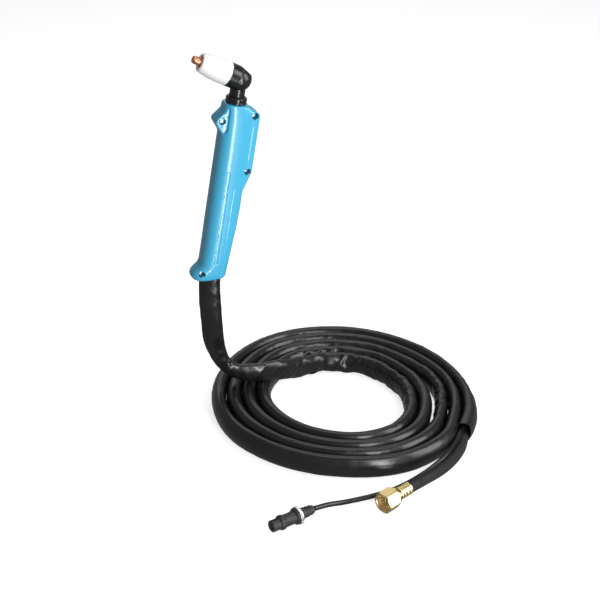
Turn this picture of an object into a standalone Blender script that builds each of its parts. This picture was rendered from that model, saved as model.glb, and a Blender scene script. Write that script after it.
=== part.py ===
"""Hand-held plasma cutting torch with its sleeved lead, as an assembly of separate solids.

Frame: origin at the grip point on the handle's axis, +Z up, the head and cup point towards -X,
and the two handle halves meet on the plane Y = 0. Lengths in the tables are millimetres.
"""
import math

import bmesh
import bpy
from mathutils import Matrix, Vector

MM = 0.001
GAP = 0.3                       # clearance between neighbouring pieces

# Attitude of the torch
LEAN = math.radians(9.9)        # the handle leans back from the vertical
HEAD_ANGLE = math.radians(72.0)  # between the handle's axis and the cup's axis

# Handle, in its own frame: z along its axis from the grip point, x away from the head
HANDLE_TOP = 91.5
HANDLE_BOTTOM = -87.3
WALL = 2.2
SECTION_POWER = 2.8             # squareness of the handle's cross-section
SECTION_POINTS = 32
BOTTOM_SLOPE = 0.17             # the mouth's rim rises towards the back
# height, front edge, back edge, half width
BODY_STATIONS = [
    (HANDLE_BOTTOM, -12.6, 8.6, 9.6), (-86.6, -15.8, 10.8, 10.9), (-85.0, -18.6, 12.2, 11.9),
    (-82.2, -20.2, 12.9, 12.6), (-79.2, -19.4, 13.2, 13.0), (-76.2, -16.8, 13.4, 13.3),
    (-72.5, -14.3, 13.6, 13.6), (-67.0, -12.9, 14.0, 13.9), (-48.0, -12.3, 15.4, 14.3),
    (-28.0, -12.2, 16.6, 14.5), (5.0, -12.2, 17.0, 14.5), (55.0, -12.2, 17.0, 14.5),
    (78.0, -12.2, 16.0, 14.0), (89.7, -12.2, 12.4, 13.3), (91.0, -11.8, 11.2, 12.9),
    (HANDLE_TOP, -11.0, 10.3, 12.2),
]
CAVITY_BOTTOM = -84.4
MOUTH_TOP = -81.6                # the mouth is cut up into the cavity
CAVITY_TOP = 88.6

# Switch box on the handle's back
BOX_SIDE = 12.8
BOX_BACK = 22.7
BOX_OUTLINE = [(8.0, 89.5), (10.8, 90.8), (21.7, 84.6), (BOX_BACK, 83.2), (BOX_BACK, 27.5),
               (22.1, 25.4), (17.1, 9.5), (8.0, 7.0)]
BOX_CAVITY = [(8.0, 78.5), (20.4, 78.5), (20.4, 34.0), (8.0, 34.0)]
BOX_CAVITY_SIDE = 10.3

# Triangular screw ear on the handle's front
EAR_SIDE = 9.5
EAR_OUTLINE = [(-6.0, 86.0), (-11.8, 84.4), (-18.2, 77.2), (-19.2, 75.6), (-19.4, 74.0),
               (-19.0, 72.4), (-17.6, 70.4), (-11.6, 62.4), (-6.0, 61.0)]
PAD_OUTLINE = [(-8.2, 88.2), (-8.2, 66.8), (-12.0, 62.2), (-24.0, 70.0), (-24.0, 79.0), (-12.0, 87.0)]

# Screws across the handle: x, z
SCREWS = [(-13.5, 75.2), (17.0, 82.7), (17.3, 28.0), (-12.9, -80.3)]
COUNTERBORE_R = 3.3
SEAT_DEPTH = 5.5                # distance of the head's seat from the split plane
HEAD_R, HEAD_H = 2.8, 2.4
SHANK_R = 1.35
BOSS_R = 4.0

# Trigger and switch
WINDOW = (40.2, 73.8, 6.2)      # window's lower and upper edge, half width
TRIGGER_FACE = 22.2             # outer face, 0.5 mm below the box's back
TRIGGER_TRAVEL = 1.5
SWITCH_MID = 57.0
SWITCH_BACK = 13.6
TERMINAL_X = (7.0, 11.0)

# Neck and head
NECK_R, NECK_BORE_R = 7.25, 5.0
COLLAR_R = 10.0
ELBOW_Z = 114.7                 # where the handle's axis meets the cup's axis
BARREL_R = 11.25
CUP_REAR = 12.6                 # distances along the cup's axis from the elbow
CUP_FRONT = 42.1
TIP_FRONT = 49.3
SPIGOT_R = 7.3

# Lead: sleeve, coil, hose and control cable, in the frame of the whole part
FLOOR = -237.9
SLEEVE_HEIGHT = 22.0
COIL_CENTRE = (109.4, -44.5)
COIL_INNER, COIL_OUTER = 72.0, 134.5
NOTCH_RADIUS = 127.4            # inside the sleeve's open end the outermost turn is missing
NOTCH_FROM, NOTCH_TO = -48.2, -84.0
DROP_R, HOSE_R, CABLE_R = 6.9, 5.3, 2.4
DROP_ROUTE = [
    (-13.5, 0.0, -77.2), (-14.9, 0.0, -83.2), (-15.9, 0.1, -90.0), (-16.2, 0.4, -101.0),
    (-16.0, 1.2, -113.0), (-14.6, 2.9, -136.6), (-12.9, 5.4, -156.9), (-10.2, 8.0, -170.0),
    (-7.2, 9.2, -180.0), (-3.2, 9.0, -189.5), (2.6, 7.6, -197.4), (10.2, 4.8, -202.2),
    (20.2, 1.8, -204.8), (35.5, -0.6, -206.2), (46.0, 0.0, -207.0),
]
HOSE_ROUTE = [
    (199.0, -147.6, FLOOR + 5.6), (187.5, -164.2, FLOOR + 5.7), (171.0, -179.8, FLOOR + 6.0),
    (152.5, -192.0, FLOOR + 6.8), (130.5, -202.6, FLOOR + 8.4), (110.5, -211.4, FLOOR + 9.6),
]
CABLE_ROUTE = [
    (196.2, -145.5, FLOOR + 13.4), (178.4, -160.4, FLOOR + 11.4), (156.2, -176.2, FLOOR + 4.8),
    (137.0, -189.2, FLOOR + 2.8), (117.0, -197.8, FLOOR + 2.6), (94.5, -202.0, FLOOR + 2.6),
    (73.6, -203.0, FLOOR + 2.6), (50.0, -203.4, FLOOR + 3.2), (32.0, -205.8, FLOOR + 6.4),
    (17.2, -209.4, FLOOR + 8.6),
]
NUT_FRONT = (77.7, -225.3, FLOOR + 9.7)
NUT_HEADING = math.radians(203.0)
NUT_FLATS = 19.0
PLUG_FRONT = (-28.7, -221.3, FLOOR + 8.7)
PLUG_HEADING = math.radians(194.6)

COLOURS = {
    # name: (red, green, blue), roughness, metallic
    "blue_shell": ((0.07, 0.42, 0.68), 0.28, 0.0),
    "black_plastic": ((0.012, 0.012, 0.014), 0.35, 0.0),
    "white_ceramic": ((0.9, 0.89, 0.87), 0.3, 0.0),
    "copper": ((0.72, 0.3, 0.18), 0.25, 1.0),
    "brass": ((0.8, 0.58, 0.25), 0.25, 1.0),
    "steel": ((0.6, 0.6, 0.62), 0.3, 1.0),
    "hafnium": ((0.35, 0.35, 0.37), 0.4, 1.0),
    "rubber": ((0.02, 0.02, 0.022), 0.6, 0.0),
    "sleeve": ((0.012, 0.012, 0.014), 0.35, 0.0),
    "wire": ((0.5, 0.05, 0.04), 0.5, 0.0),
}


# ---------------------------------------------------------------- scene and frames

def clear_scene():
    for obj in list(bpy.data.objects):
        bpy.data.objects.remove(obj, do_unlink=True)


def make_materials():
    materials = {}
    for name, (colour, roughness, metallic) in COLOURS.items():
        material = bpy.data.materials.new(name)
        material.use_nodes = True
        shader = material.node_tree.nodes["Principled BSDF"]
        shader.inputs["Base Color"].default_value = (*colour, 1.0)
        shader.inputs["Roughness"].default_value = roughness
        shader.inputs["Metallic"].default_value = metallic
        materials[name] = material
    return materials


def make_frame(name, matrix):
    """An empty that carries pieces placed in its own frame."""
    frame = bpy.data.objects.new(name, None)
    bpy.context.scene.collection.objects.link(frame)
    frame.matrix_world = matrix
    return frame


def heading_matrix(point, heading):
    """Local +Z runs level along the heading, local +X points up."""
    along = Vector((math.cos(heading), math.sin(heading), 0.0))
    up = Vector((0.0, 0.0, 1.0))
    side = along.cross(up)
    rotation = Matrix((up, side, along)).transposed().to_4x4()
    return Matrix.Translation(Vector(point) * MM) @ rotation


def make_frames():
    handle = Matrix.Rotation(LEAN, 4, "Y")
    elbow = handle @ Matrix.Translation((0.0, 0.0, ELBOW_Z * MM))
    head = elbow @ Matrix.Rotation(-HEAD_ANGLE, 4, "Y")
    return {
        "handle": make_frame("handle_frame", handle),
        "head": make_frame("head_frame", head),
        "nut": make_frame("nut_frame", heading_matrix(NUT_FRONT, NUT_HEADING)),
        "plug": make_frame("plug_frame", heading_matrix(PLUG_FRONT, PLUG_HEADING)),
        "part": make_frame("part_frame", Matrix.Identity(4)),
    }


# ---------------------------------------------------------------- mesh helpers

def finish(name, bm, frame, material):
    """Make the node's object in its frame, faces out, shaded smooth but for sharp edges."""
    bmesh.ops.recalc_face_normals(bm, faces=bm.faces)
    mesh = bpy.data.meshes.new(name)
    bm.to_mesh(mesh)
    bm.free()
    obj = bpy.data.objects.new(name, mesh)
    bpy.context.scene.collection.objects.link(obj)
    obj.parent = frame
    if material is not None:
        mesh.materials.append(material)
    mesh.shade_smooth()
    mesh.set_sharp_from_angle(angle=math.radians(35))
    return obj


def turned(name, profile, frame, material, segments=32, ring=False):
    """Turn a profile of (radius, height) about the frame's Z axis.

    A ring's profile is a closed loop off the axis. Any other profile starts and ends on it.
    """
    bm = bmesh.new()
    rows = []
    for radius, height in profile:
        if radius == 0.0:
            rows.append([bm.verts.new((0.0, 0.0, height * MM))])
            continue
        row = []
        for k in range(segments):
            angle = 2.0 * math.pi * k / segments
            point = (radius * math.cos(angle) * MM, radius * math.sin(angle) * MM, height * MM)
            row.append(bm.verts.new(point))
        rows.append(row)
    pairs = list(zip(rows, rows[1:]))
    if ring:
        pairs.append((rows[-1], rows[0]))
    for lower, upper in pairs:
        for k in range(segments):
            n = (k + 1) % segments
            corners = [lower[k % len(lower)], lower[n % len(lower)],
                       upper[n % len(upper)], upper[k % len(upper)]]
            unique = list(dict.fromkeys(corners))
            bm.faces.new(unique)
    return finish(name, bm, frame, material)


def loft(name, rings, frame, material):
    """Skin closed rings of points, with a flat face at each end."""
    bm = bmesh.new()
    rows = [[bm.verts.new(Vector(p) * MM) for p in ring] for ring in rings]
    count = len(rings[0])
    for lower, upper in zip(rows, rows[1:]):
        for k in range(count):
            n = (k + 1) % count
            bm.faces.new((lower[k], lower[n], upper[n], upper[k]))
    bm.faces.new(list(reversed(rows[0])))
    bm.faces.new(rows[-1])
    return finish(name, bm, frame, material)


def side_prism(name, outline, low, high, frame, material):
    """Extrude an outline of (x, z) from y = low to y = high."""
    rings = [[(x, y, z) for x, z in outline] for y in (low, high)]
    return loft(name, rings, frame, material)


def up_prism(name, outline, low, high, frame, material):
    """Extrude an outline of (x, y) from z = low to z = high."""
    rings = [[(x, y, z) for x, y in outline] for z in (low, high)]
    return loft(name, rings, frame, material)


def block(name, low, high, frame, material):
    outline = [(low[0], low[1]), (high[0], low[1]), (high[0], high[1]), (low[0], high[1])]
    return up_prism(name, outline, low[2], high[2], frame, material)


def round_end_outline(half_length, half_width, centre=0.0, arc_points=9):
    """A slot's outline with half-round ends, long in x."""
    outline = []
    straight = half_length - half_width
    for side, start in ((1, -90.0), (-1, 90.0)):
        for k in range(arc_points):
            angle = math.radians(start + 180.0 * k / (arc_points - 1))
            outline.append((centre + side * straight + half_width * math.cos(angle),
                            half_width * math.sin(angle)))
    return outline


def hexagon(across_flats, first_corner=0.0):
    radius = across_flats / math.sqrt(3.0)
    corners = []
    for k in range(6):
        angle = first_corner + math.pi * k / 3.0
        corners.append((radius * math.cos(angle), radius * math.sin(angle)))
    return corners


def bevel(obj, width, segments=2, angle=30.0):
    modifier = obj.modifiers.new("Bevel", "BEVEL")
    modifier.width = width * MM
    modifier.segments = segments
    modifier.limit_method = "ANGLE"
    modifier.angle_limit = math.radians(angle)


def combine(obj, other, operation):
    """Boolean with another piece, which becomes a hidden tool."""
    modifier = obj.modifiers.new(operation.title(), "BOOLEAN")
    modifier.operation = operation
    modifier.solver = "EXACT"
    modifier.object = other
    other.hide_render = True
    other.display_type = "WIRE"


def cut(obj, *tools):
    for tool in tools:
        combine(obj, tool, "DIFFERENCE")


def join(obj, *tools):
    for tool in tools:
        combine(obj, tool, "UNION")


def cross_pin(name, x, z, radius, low, high, frame, segments=20):
    """A cylinder across the handle, along y."""
    outline = []
    for k in range(segments):
        angle = 2.0 * math.pi * k / segments
        outline.append((x + radius * math.cos(angle), z + radius * math.sin(angle)))
    return side_prism(name, outline, low, high, frame, None)


def smooth_route(points, spacing):
    """Points at an even spacing on a Catmull-Rom curve through a hand-chosen route."""
    ends = [2 * Vector(points[0]) - Vector(points[1])]
    ends += [Vector(p) for p in points]
    ends.append(2 * Vector(points[-1]) - Vector(points[-2]))
    fine = []
    for i in range(1, len(ends) - 2):
        a, b, c, d = ends[i - 1:i + 3]
        for k in range(24):
            t = k / 24.0
            fine.append(0.5 * (2 * b + (c - a) * t + (2 * a - 5 * b + 4 * c - d) * t * t
                               + (3 * b - a - 3 * c + d) * t ** 3))
    fine.append(ends[-2])
    total = sum((q - p).length for p, q in zip(fine, fine[1:]))
    count = max(2, round(total / spacing))
    route = [fine[0]]
    walked, target = 0.0, total / count
    for p, q in zip(fine, fine[1:]):
        step = (q - p).length
        while walked + step >= target and len(route) < count:
            route.append(p.lerp(q, (target - walked) / step))
            target += total / count
        walked += step
    route.append(fine[-1])
    return route


def tube(name, points, radius, spacing, frame, material, resolution=2):
    """A round tube along a smooth route, with filled ends."""
    route = smooth_route(points, spacing)
    curve = bpy.data.curves.new(name, "CURVE")
    curve.dimensions = "3D"
    curve.bevel_depth = radius * MM
    curve.bevel_resolution = resolution
    curve.use_fill_caps = True
    spline = curve.splines.new("POLY")
    spline.points.add(len(route) - 1)
    for target, point in zip(spline.points, route):
        target.co = (*(point * MM), 1.0)
    curve.materials.append(material)
    obj = bpy.data.objects.new(name, curve)
    bpy.context.scene.collection.objects.link(obj)
    obj.parent = frame
    return obj


# ---------------------------------------------------------------- handle shells

def body_ring(station, inset, points):
    """Cross-section of the handle at one station, moved in by the inset."""
    height, front, back, half = station
    front, back, half = front + inset, back - inset, half - inset
    centre, reach = (front + back) / 2, (back - front) / 2
    fade = max(0.0, min(1.0, (-60.0 - height) / (-60.0 - HANDLE_BOTTOM)))
    ring = []
    for k in range(points):
        angle = 2.0 * math.pi * k / points
        c, s = math.cos(angle), math.sin(angle)
        x = centre + reach * math.copysign(abs(c) ** (2 / SECTION_POWER), c)
        y = half * math.copysign(abs(s) ** (2 / SECTION_POWER), s)
        z = height + fade * BOTTOM_SLOPE * (x - centre)
        ring.append((x, y, z))
    return ring


def station_at(height):
    """Interpolate the handle's stations at any height."""
    for lower, upper in zip(BODY_STATIONS, BODY_STATIONS[1:]):
        if lower[0] <= height <= upper[0]:
            t = (height - lower[0]) / (upper[0] - lower[0])
            return tuple(a + t * (b - a) for a, b in zip(lower, upper))
    return BODY_STATIONS[-1]


def handle_tools(frame):
    """Solids that shape both halves."""
    cavity_heights = (CAVITY_BOTTOM, -82.2, -79.2, -76.2, -72.5, -67.0, -48.0, -28.0, 5.0,
                      55.0, 78.0, CAVITY_TOP)
    rings = [body_ring(station_at(z), WALL, 24) for z in cavity_heights]
    cavity = loft("cavity_tool", rings, frame, None)
    join(cavity, side_prism("box_cavity_tool", BOX_CAVITY, -BOX_CAVITY_SIDE, BOX_CAVITY_SIDE, frame, None))
    for x, z in SCREWS[2:]:
        cut(cavity, cross_pin("boss_tool", x, z, BOSS_R, -20.0, 20.0, frame))
    neck = turned("neck_tool", [(0, 80.0), (8.7, 80.0), (8.7, 100.0), (0, 100.0)], frame, None)
    slot = round_end_outline(11.5, 7.3, centre=-0.8)
    mouth = up_prism("mouth_tool", slot, -100.0, MOUTH_TOP, frame, None)
    low, high, half = WINDOW
    window = block("window_tool", (18.0, -half, low), (30.0, half, high), frame, None)
    return [cavity, neck, mouth, window]


def make_handle_half(name, side, tools, frame, material):
    """One shell: side is -1 for the left half and +1 for the right half."""
    rings = [body_ring(station, 0.0, SECTION_POINTS) for station in BODY_STATIONS]
    half = loft(name, rings, frame, material)
    ear = side_prism(name + "_ear_tool", EAR_OUTLINE, -EAR_SIDE, EAR_SIDE, frame, None)
    bevel(ear, 1.2)
    box = side_prism(name + "_box_tool", BOX_OUTLINE, -BOX_SIDE, BOX_SIDE, frame, None)
    bevel(box, 2.2)
    join(half, ear, box)
    pad_range = sorted((side * EAR_SIDE, side * 20.0))
    cut(half, side_prism(name + "_pad_tool", PAD_OUTLINE, *pad_range, frame, None))
    cut(half, *tools)
    other = sorted((-side * 40.0, side * GAP / 2))
    cut(half, block(name + "_split_tool", (-60, other[0], -120), (60, other[1], 120), frame, None))
    for x, z in SCREWS:
        if side < 0:
            cut(half, cross_pin("counterbore_tool", x, z, COUNTERBORE_R, -20.0, -SEAT_DEPTH, frame))
            cut(half, cross_pin("clearance_tool", x, z, SHANK_R + GAP, -SEAT_DEPTH - 1, 1.0, frame, 16))
        else:
            cut(half, cross_pin("pilot_tool", x, z, SHANK_R + GAP, -1.0, 9.0, frame, 16))
    return half


def screw_profile():
    """Dome-headed screw, head at the top, in its own frame."""
    top = SEAT_DEPTH + GAP + HEAD_H
    return [(0, -8.5), (SHANK_R * 0.6, -8.5), (SHANK_R, -7.6), (SHANK_R, SEAT_DEPTH + GAP),
            (HEAD_R, SEAT_DEPTH + GAP), (HEAD_R, top - 1.0), (HEAD_R * 0.75, top - 0.3), (0, top)]


def make_screws(frame, material):
    """Four identical screws, their heads towards -Y."""
    mesh = None
    for number, (x, z) in enumerate(SCREWS, start=1):
        name = f"handle_screw_{number}"
        if mesh is None:
            screw = turned(name, screw_profile(), frame, material, segments=16)
            mesh = screw.data
        else:
            screw = bpy.data.objects.new(name, mesh)
            bpy.context.scene.collection.objects.link(screw)
            screw.parent = frame
        screw.location = (x * MM, 0.0, z * MM)
        screw.rotation_euler = (math.pi / 2, 0.0, 0.0)


# ---------------------------------------------------------------- trigger and switch

def make_trigger(frame, materials):
    low, high, half = WINDOW
    clear = 0.4
    pad = block("trigger_button", (17.6, -half + clear, low + clear),
                (TRIGGER_FACE, half - clear, high - clear), frame, materials["black_plastic"])
    bevel(pad, 0.8)
    join(pad, block("trigger_flange_tool", (17.6, -8.0, low - 1.8), (19.6, 8.0, high + 1.8), frame, None))
    return pad


def make_switch(frame, materials):
    mid = SWITCH_MID
    body = block("switch_body", (5.2, -3.2, mid - 10.0), (SWITCH_BACK, 3.2, mid + 10.0), frame,
                 materials["black_plastic"])
    bevel(body, 0.5, segments=1)
    depth = 1.9 + TRIGGER_TRAVEL + 2 * GAP      # the plunger's foot stays clear at full travel
    socket = [(0, 0), (1.3, 0), (1.3, depth + 1.0), (0, depth + 1.0)]
    well = turned("plunger_well_tool", socket, frame, None, segments=16)
    well.location = ((SWITCH_BACK - depth) * MM, 0.0, mid * MM)
    well.rotation_euler = (0.0, math.pi / 2, 0.0)
    cut(body, well)
    plunger_profile = [(0, 0), (1.0, 0), (1.0, 5.2), (0.7, 5.6), (0, 5.6)]
    plunger = turned("switch_plunger", plunger_profile, frame, materials["steel"], segments=16)
    plunger.location = ((SWITCH_BACK - 1.9) * MM, 0.0, mid * MM)
    plunger.rotation_euler = (0.0, math.pi / 2, 0.0)
    end = mid - 10.0
    for number, x in enumerate(TERMINAL_X, start=1):
        block(f"switch_terminal_{number}", (x - 0.4, -1.6, end - 3.0), (x + 0.4, 1.6, end - GAP),
              frame, materials["brass"])


def make_trigger_spring(frame, material):
    """A compression spring round the plunger, between switch and button."""
    turns, radius, wire = 3.0, 2.0, 0.22
    start = SWITCH_BACK + GAP + wire
    free_length = 17.6 - GAP - wire - start
    points = []
    steps = int(turns * 12)
    for k in range(steps + 1):
        angle = 2.0 * math.pi * turns * k / steps
        x = start + free_length * k / steps
        points.append((x, radius * math.cos(angle), SWITCH_MID + radius * math.sin(angle)))
    tube("trigger_spring", points, wire, 1.0, frame, material, resolution=0)


def make_switch_wires(frame, material):
    """Control wires from the switch's terminals down to the handle's mouth."""
    for number, sign in ((1, 1), (2, -1)):
        start = TERMINAL_X[number - 1]
        route = [(start, 0.0, SWITCH_MID - 14.3), (start, sign * 1.4, 36.0), (8.2, sign * 3.6, 22.0),
                 (8.2, sign * 4.6, 8.0), (8.4, sign * 4.6, -22.0), (7.6, sign * 3.4, -48.0),
                 (6.6, sign * 2.1, -62.0), (6.6, sign * 2.0, -77.8)]
        tube(f"switch_wire_{number}", route, 0.9, 6.0, frame, material, resolution=1)


# ---------------------------------------------------------------- gas and power line

def make_power_line(frame, materials):
    tube_profile = [(2.6, -14.0), (4.0, -14.0), (4.0, 108.2), (2.6, 108.2)]
    turned("power_tube", tube_profile, frame, materials["brass"], segments=20, ring=True)
    nut = up_prism("union_nut", hexagon(13.0), -29.0, -15.0, frame, materials["brass"])
    bore = [(0, -32.0), (5.6, -32.0), (5.6, -20.0), (4.3, -20.0), (4.3, -10.0), (0, -10.0)]
    cut(nut, turned("union_bore_tool", bore, frame, None, segments=24))
    hose_profile = [(3.2, -77.8), (HOSE_R, -77.8), (HOSE_R, -21.0), (3.2, -21.0)]
    turned("hose_stub", hose_profile, frame, materials["rubber"], segments=24, ring=True)
    turned("neck_tube", [(NECK_BORE_R, 76.0), (NECK_R, 76.0), (NECK_R, 108.4), (NECK_BORE_R, 108.4)],
           frame, materials["black_plastic"], ring=True)
    collar = [(NECK_R + GAP, 82.6), (9.8, 82.6), (9.8, 84.2), (8.4, 84.2), (8.4, HANDLE_TOP + GAP),
              (COLLAR_R, HANDLE_TOP + GAP), (COLLAR_R, 96.8), (9.0, 98.0), (NECK_R + GAP, 98.0)]
    turned("neck_collar", collar, frame, materials["black_plastic"], segments=28, ring=True)


def make_sleeve_end(frame, materials):
    """The sleeve's upper end, gathered round the hose and held by a band."""
    for name, outer, inner, low, high, colour in (
            ("sleeve_clamp", (10.3, 7.7), (9.3, 6.7), -73.0, -67.0, "steel"),
            ("sleeve_end", (9.0, 6.4), (8.4, 5.8), -78.0, -62.0, "sleeve")):
        band = up_prism(name, round_end_outline(*outer), low, high, frame, materials[colour])
        cut(band, up_prism(name + "_tool", round_end_outline(*inner), low - 1, high + 1, frame, None))


# ---------------------------------------------------------------- torch head

def make_torch_head(frames, materials):
    """Black elbow: a barrel on the cup's axis, a round knuckle and a threaded spigot."""
    head = frames["head"]
    barrel = [(0, -3.0), (BARREL_R - 0.1, -3.0), (BARREL_R, 5.0), (BARREL_R, CUP_REAR - GAP),
              (SPIGOT_R, CUP_REAR - GAP), (SPIGOT_R, 22.0), (0, 22.0)]
    body = turned("torch_head", barrel, head, materials["black_plastic"], segments=28)
    knuckle_r = 11.6
    arc = []
    steps = 10
    for k in range(steps + 1):
        angle = -math.pi / 2 + math.pi * k / steps
        radius = knuckle_r * math.cos(angle) if 0 < k < steps else 0.0
        arc.append((radius, ELBOW_Z + knuckle_r * math.sin(angle)))
    join(body, turned("knuckle_tool", arc, frames["handle"], None, segments=24))
    bottom = ELBOW_Z - 9.9
    cut(body, block("head_floor_tool", (-14, -14, bottom - 8), (14, 14, bottom), frames["handle"], None))
    bevel_cut = block("head_bevel_tool", (9.9, -20, -20), (30, 20, 30), frames["handle"], None)
    bevel_cut.location = (0.0, 0.0, ELBOW_Z * MM)
    bevel_cut.rotation_euler = (0.0, -math.radians(53.5), 0.0)
    cut(body, bevel_cut)
    socket = [(0, 90.0), (NECK_R + GAP, 90.0), (NECK_R + GAP, 108.7), (4.5, 108.7), (4.5, 113.0), (0, 113.0)]
    cut(body, turned("neck_socket_tool", socket, frames["handle"], None))
    cut(body, turned("core_bore_tool", [(0, -5.0), (4.6, -5.0), (4.6, 30.0), (0, 30.0)], head, None))
    return body


def make_head_core(head, materials):
    """Brass core, electrode, emitter, gas distributor and seal, from the rear to the front."""
    core = [(0, -4.5), (4.3, -4.5), (4.3, 18.0), (2.3, 18.0), (2.3, 12.0), (0, 12.0)]
    turned("head_cathode", core, head, materials["brass"], segments=24)
    electrode = [(0, 12.4), (2.0, 12.4), (2.0, 18.3), (3.7, 18.3), (3.7, 24.0), (2.9, 25.5),
                 (2.9, 31.0), (1.2, 31.0), (1.2, 29.0), (0, 29.0)]
    turned("electrode", electrode, head, materials["copper"], segments=24)
    turned("hafnium_insert", [(0, 29.3), (0.9, 29.3), (0.9, 31.0), (0, 31.0)], head,
           materials["hafnium"], segments=12)
    ring = turned("swirl_ring", [(4.1, 22.4), (6.0, 22.4), (6.0, 28.8), (4.1, 28.8)], head,
                  materials["white_ceramic"], segments=24, ring=True)
    for k in range(4):
        hole = turned(f"swirl_hole_tool_{k}", [(0, 3.0), (0.6, 3.0), (0.6, 8.0), (0, 8.0)], head, None, 8)
        hole.location = (0.0, 0.0, 25.6 * MM)
        hole.rotation_euler = (math.pi / 2, 0.0, math.radians(15 + 90 * k))
        cut(ring, hole)
    seal = []
    for k in range(6):
        angle = 2.0 * math.pi * k / 6
        seal.append((8.4 + 0.75 * math.cos(angle), CUP_REAR + 0.9 + 0.75 * math.sin(angle)))
    turned("head_o_ring", seal, head, materials["rubber"], segments=24, ring=True)


def make_consumables(head, materials):
    """Tip, shield cup and the cup's threaded insert."""
    tip = [(4.4, 29.3), (6.3, 29.3), (6.3, 33.0), (5.2, 33.0), (5.2, 40.4), (4.9, 40.7),
           (3.8, 40.7), (3.8, TIP_FRONT - 0.7), (3.3, TIP_FRONT), (0.6, TIP_FRONT), (0.6, 34.4), (2.4, 34.4),
           (4.4, 32.8)]
    turned("cutting_tip", tip, head, materials["copper"], segments=20, ring=True)
    cup = [(11.3, CUP_REAR), (11.4, 15.5), (11.35, 22.0), (11.1, 28.0), (10.5, 33.0), (9.6, 37.0),
           (8.7, 40.0), (8.1, 41.4), (7.2, CUP_FRONT), (6.2, 41.9), (5.65, 41.2), (5.65, 33.4),
           (7.0, 33.4), (7.0, 30.4), (9.5, 30.4), (9.5, CUP_REAR)]
    turned("shield_cup", cup, head, materials["white_ceramic"], segments=28, ring=True)
    insert = [(SPIGOT_R + GAP, 15.0), (9.2, 15.0), (9.2, 30.0), (SPIGOT_R + GAP, 30.0)]
    turned("cup_insert", insert, head, materials["brass"], segments=28, ring=True)


# ---------------------------------------------------------------- lead

def make_coil(frame, material):
    """The wound sleeve's outer shape, short of one outer turn past the sleeve's open end."""
    top = FLOOR + SLEEVE_HEIGHT
    ring = [(COIL_INNER, FLOOR), (COIL_OUTER, FLOOR), (COIL_OUTER, top - 2),
            (COIL_OUTER - 2, top), (COIL_INNER, top)]
    coil = turned("cable_coil", ring, frame, material, segments=56, ring=True)
    steps = 10
    outline = []
    for radius, order in ((NOTCH_RADIUS, range(steps + 1)), (160.0, range(steps, -1, -1))):
        for k in order:
            angle = math.radians(NOTCH_FROM + (NOTCH_TO - NOTCH_FROM) * k / steps)
            outline.append((radius * math.cos(angle), radius * math.sin(angle)))
    notch = up_prism("notch_tool", outline, FLOOR - 5, FLOOR + 40, frame, None)
    cut(coil, notch)
    for obj in (coil, notch):
        obj.location = (COIL_CENTRE[0] * MM, COIL_CENTRE[1] * MM, 0.0)


def make_lead(frame, materials):
    tube("sleeve_drop", DROP_ROUTE, DROP_R, 14.0, frame, materials["sleeve"], resolution=4)
    make_coil(frame, materials["sleeve"])
    tube("hose_tail", HOSE_ROUTE, HOSE_R, 9.0, frame, materials["rubber"], resolution=3)
    tube("control_cable_tail", CABLE_ROUTE, CABLE_R, 11.0, frame, materials["rubber"], resolution=2)


def make_hose_end(frame, materials):
    """Swivel nut, stem with ball seat, and crimped ferrule. Heights run back from the nut's face."""
    brass = materials["brass"]
    corner = NUT_FLATS / math.sqrt(3.0)
    nut = up_prism("hose_nut", hexagon(NUT_FLATS, math.pi / 6), -18.0, 0.0, frame, brass)
    shape = [(0, -18.0), (8.0, -18.0), (8.6, -17.4), (8.6, -14.6), (9.6, -14.6), (corner + 0.1, -13.2),
             (corner + 0.1, -1.3), (9.3, 0.0), (0, 0.0)]
    combine(nut, turned("nut_shape_tool", shape, frame, None, segments=24), "INTERSECT")
    bore = [(0, -20.0), (5.2, -20.0), (5.2, -12.6), (7.3, -12.6), (7.3, -0.8), (7.9, 1.0), (0, 1.0)]
    cut(nut, turned("nut_bore_tool", bore, frame, None, segments=24))
    stem = [(1.8, -25.5), (4.9, -25.5), (4.9, -12.3), (7.0, -12.3), (7.0, -10.2), (5.4, -8.4),
            (3.4, -6.4), (1.8, -6.0)]
    turned("hose_stem", stem, frame, brass, segments=24, ring=True)
    ferrule = [(4.9 + GAP, -21.4), (5.9, -21.4), (6.1, -23.0), (6.1, -25.5), (5.9, -26.5), (5.9, -28.5),
               (6.1, -29.5), (6.1, -35.4), (5.5, -35.8), (HOSE_R + GAP, -35.0), (HOSE_R + GAP, -26.2),
               (4.9 + GAP, -26.2)]
    turned("hose_ferrule", ferrule, frame, brass, segments=24, ring=True)


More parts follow.
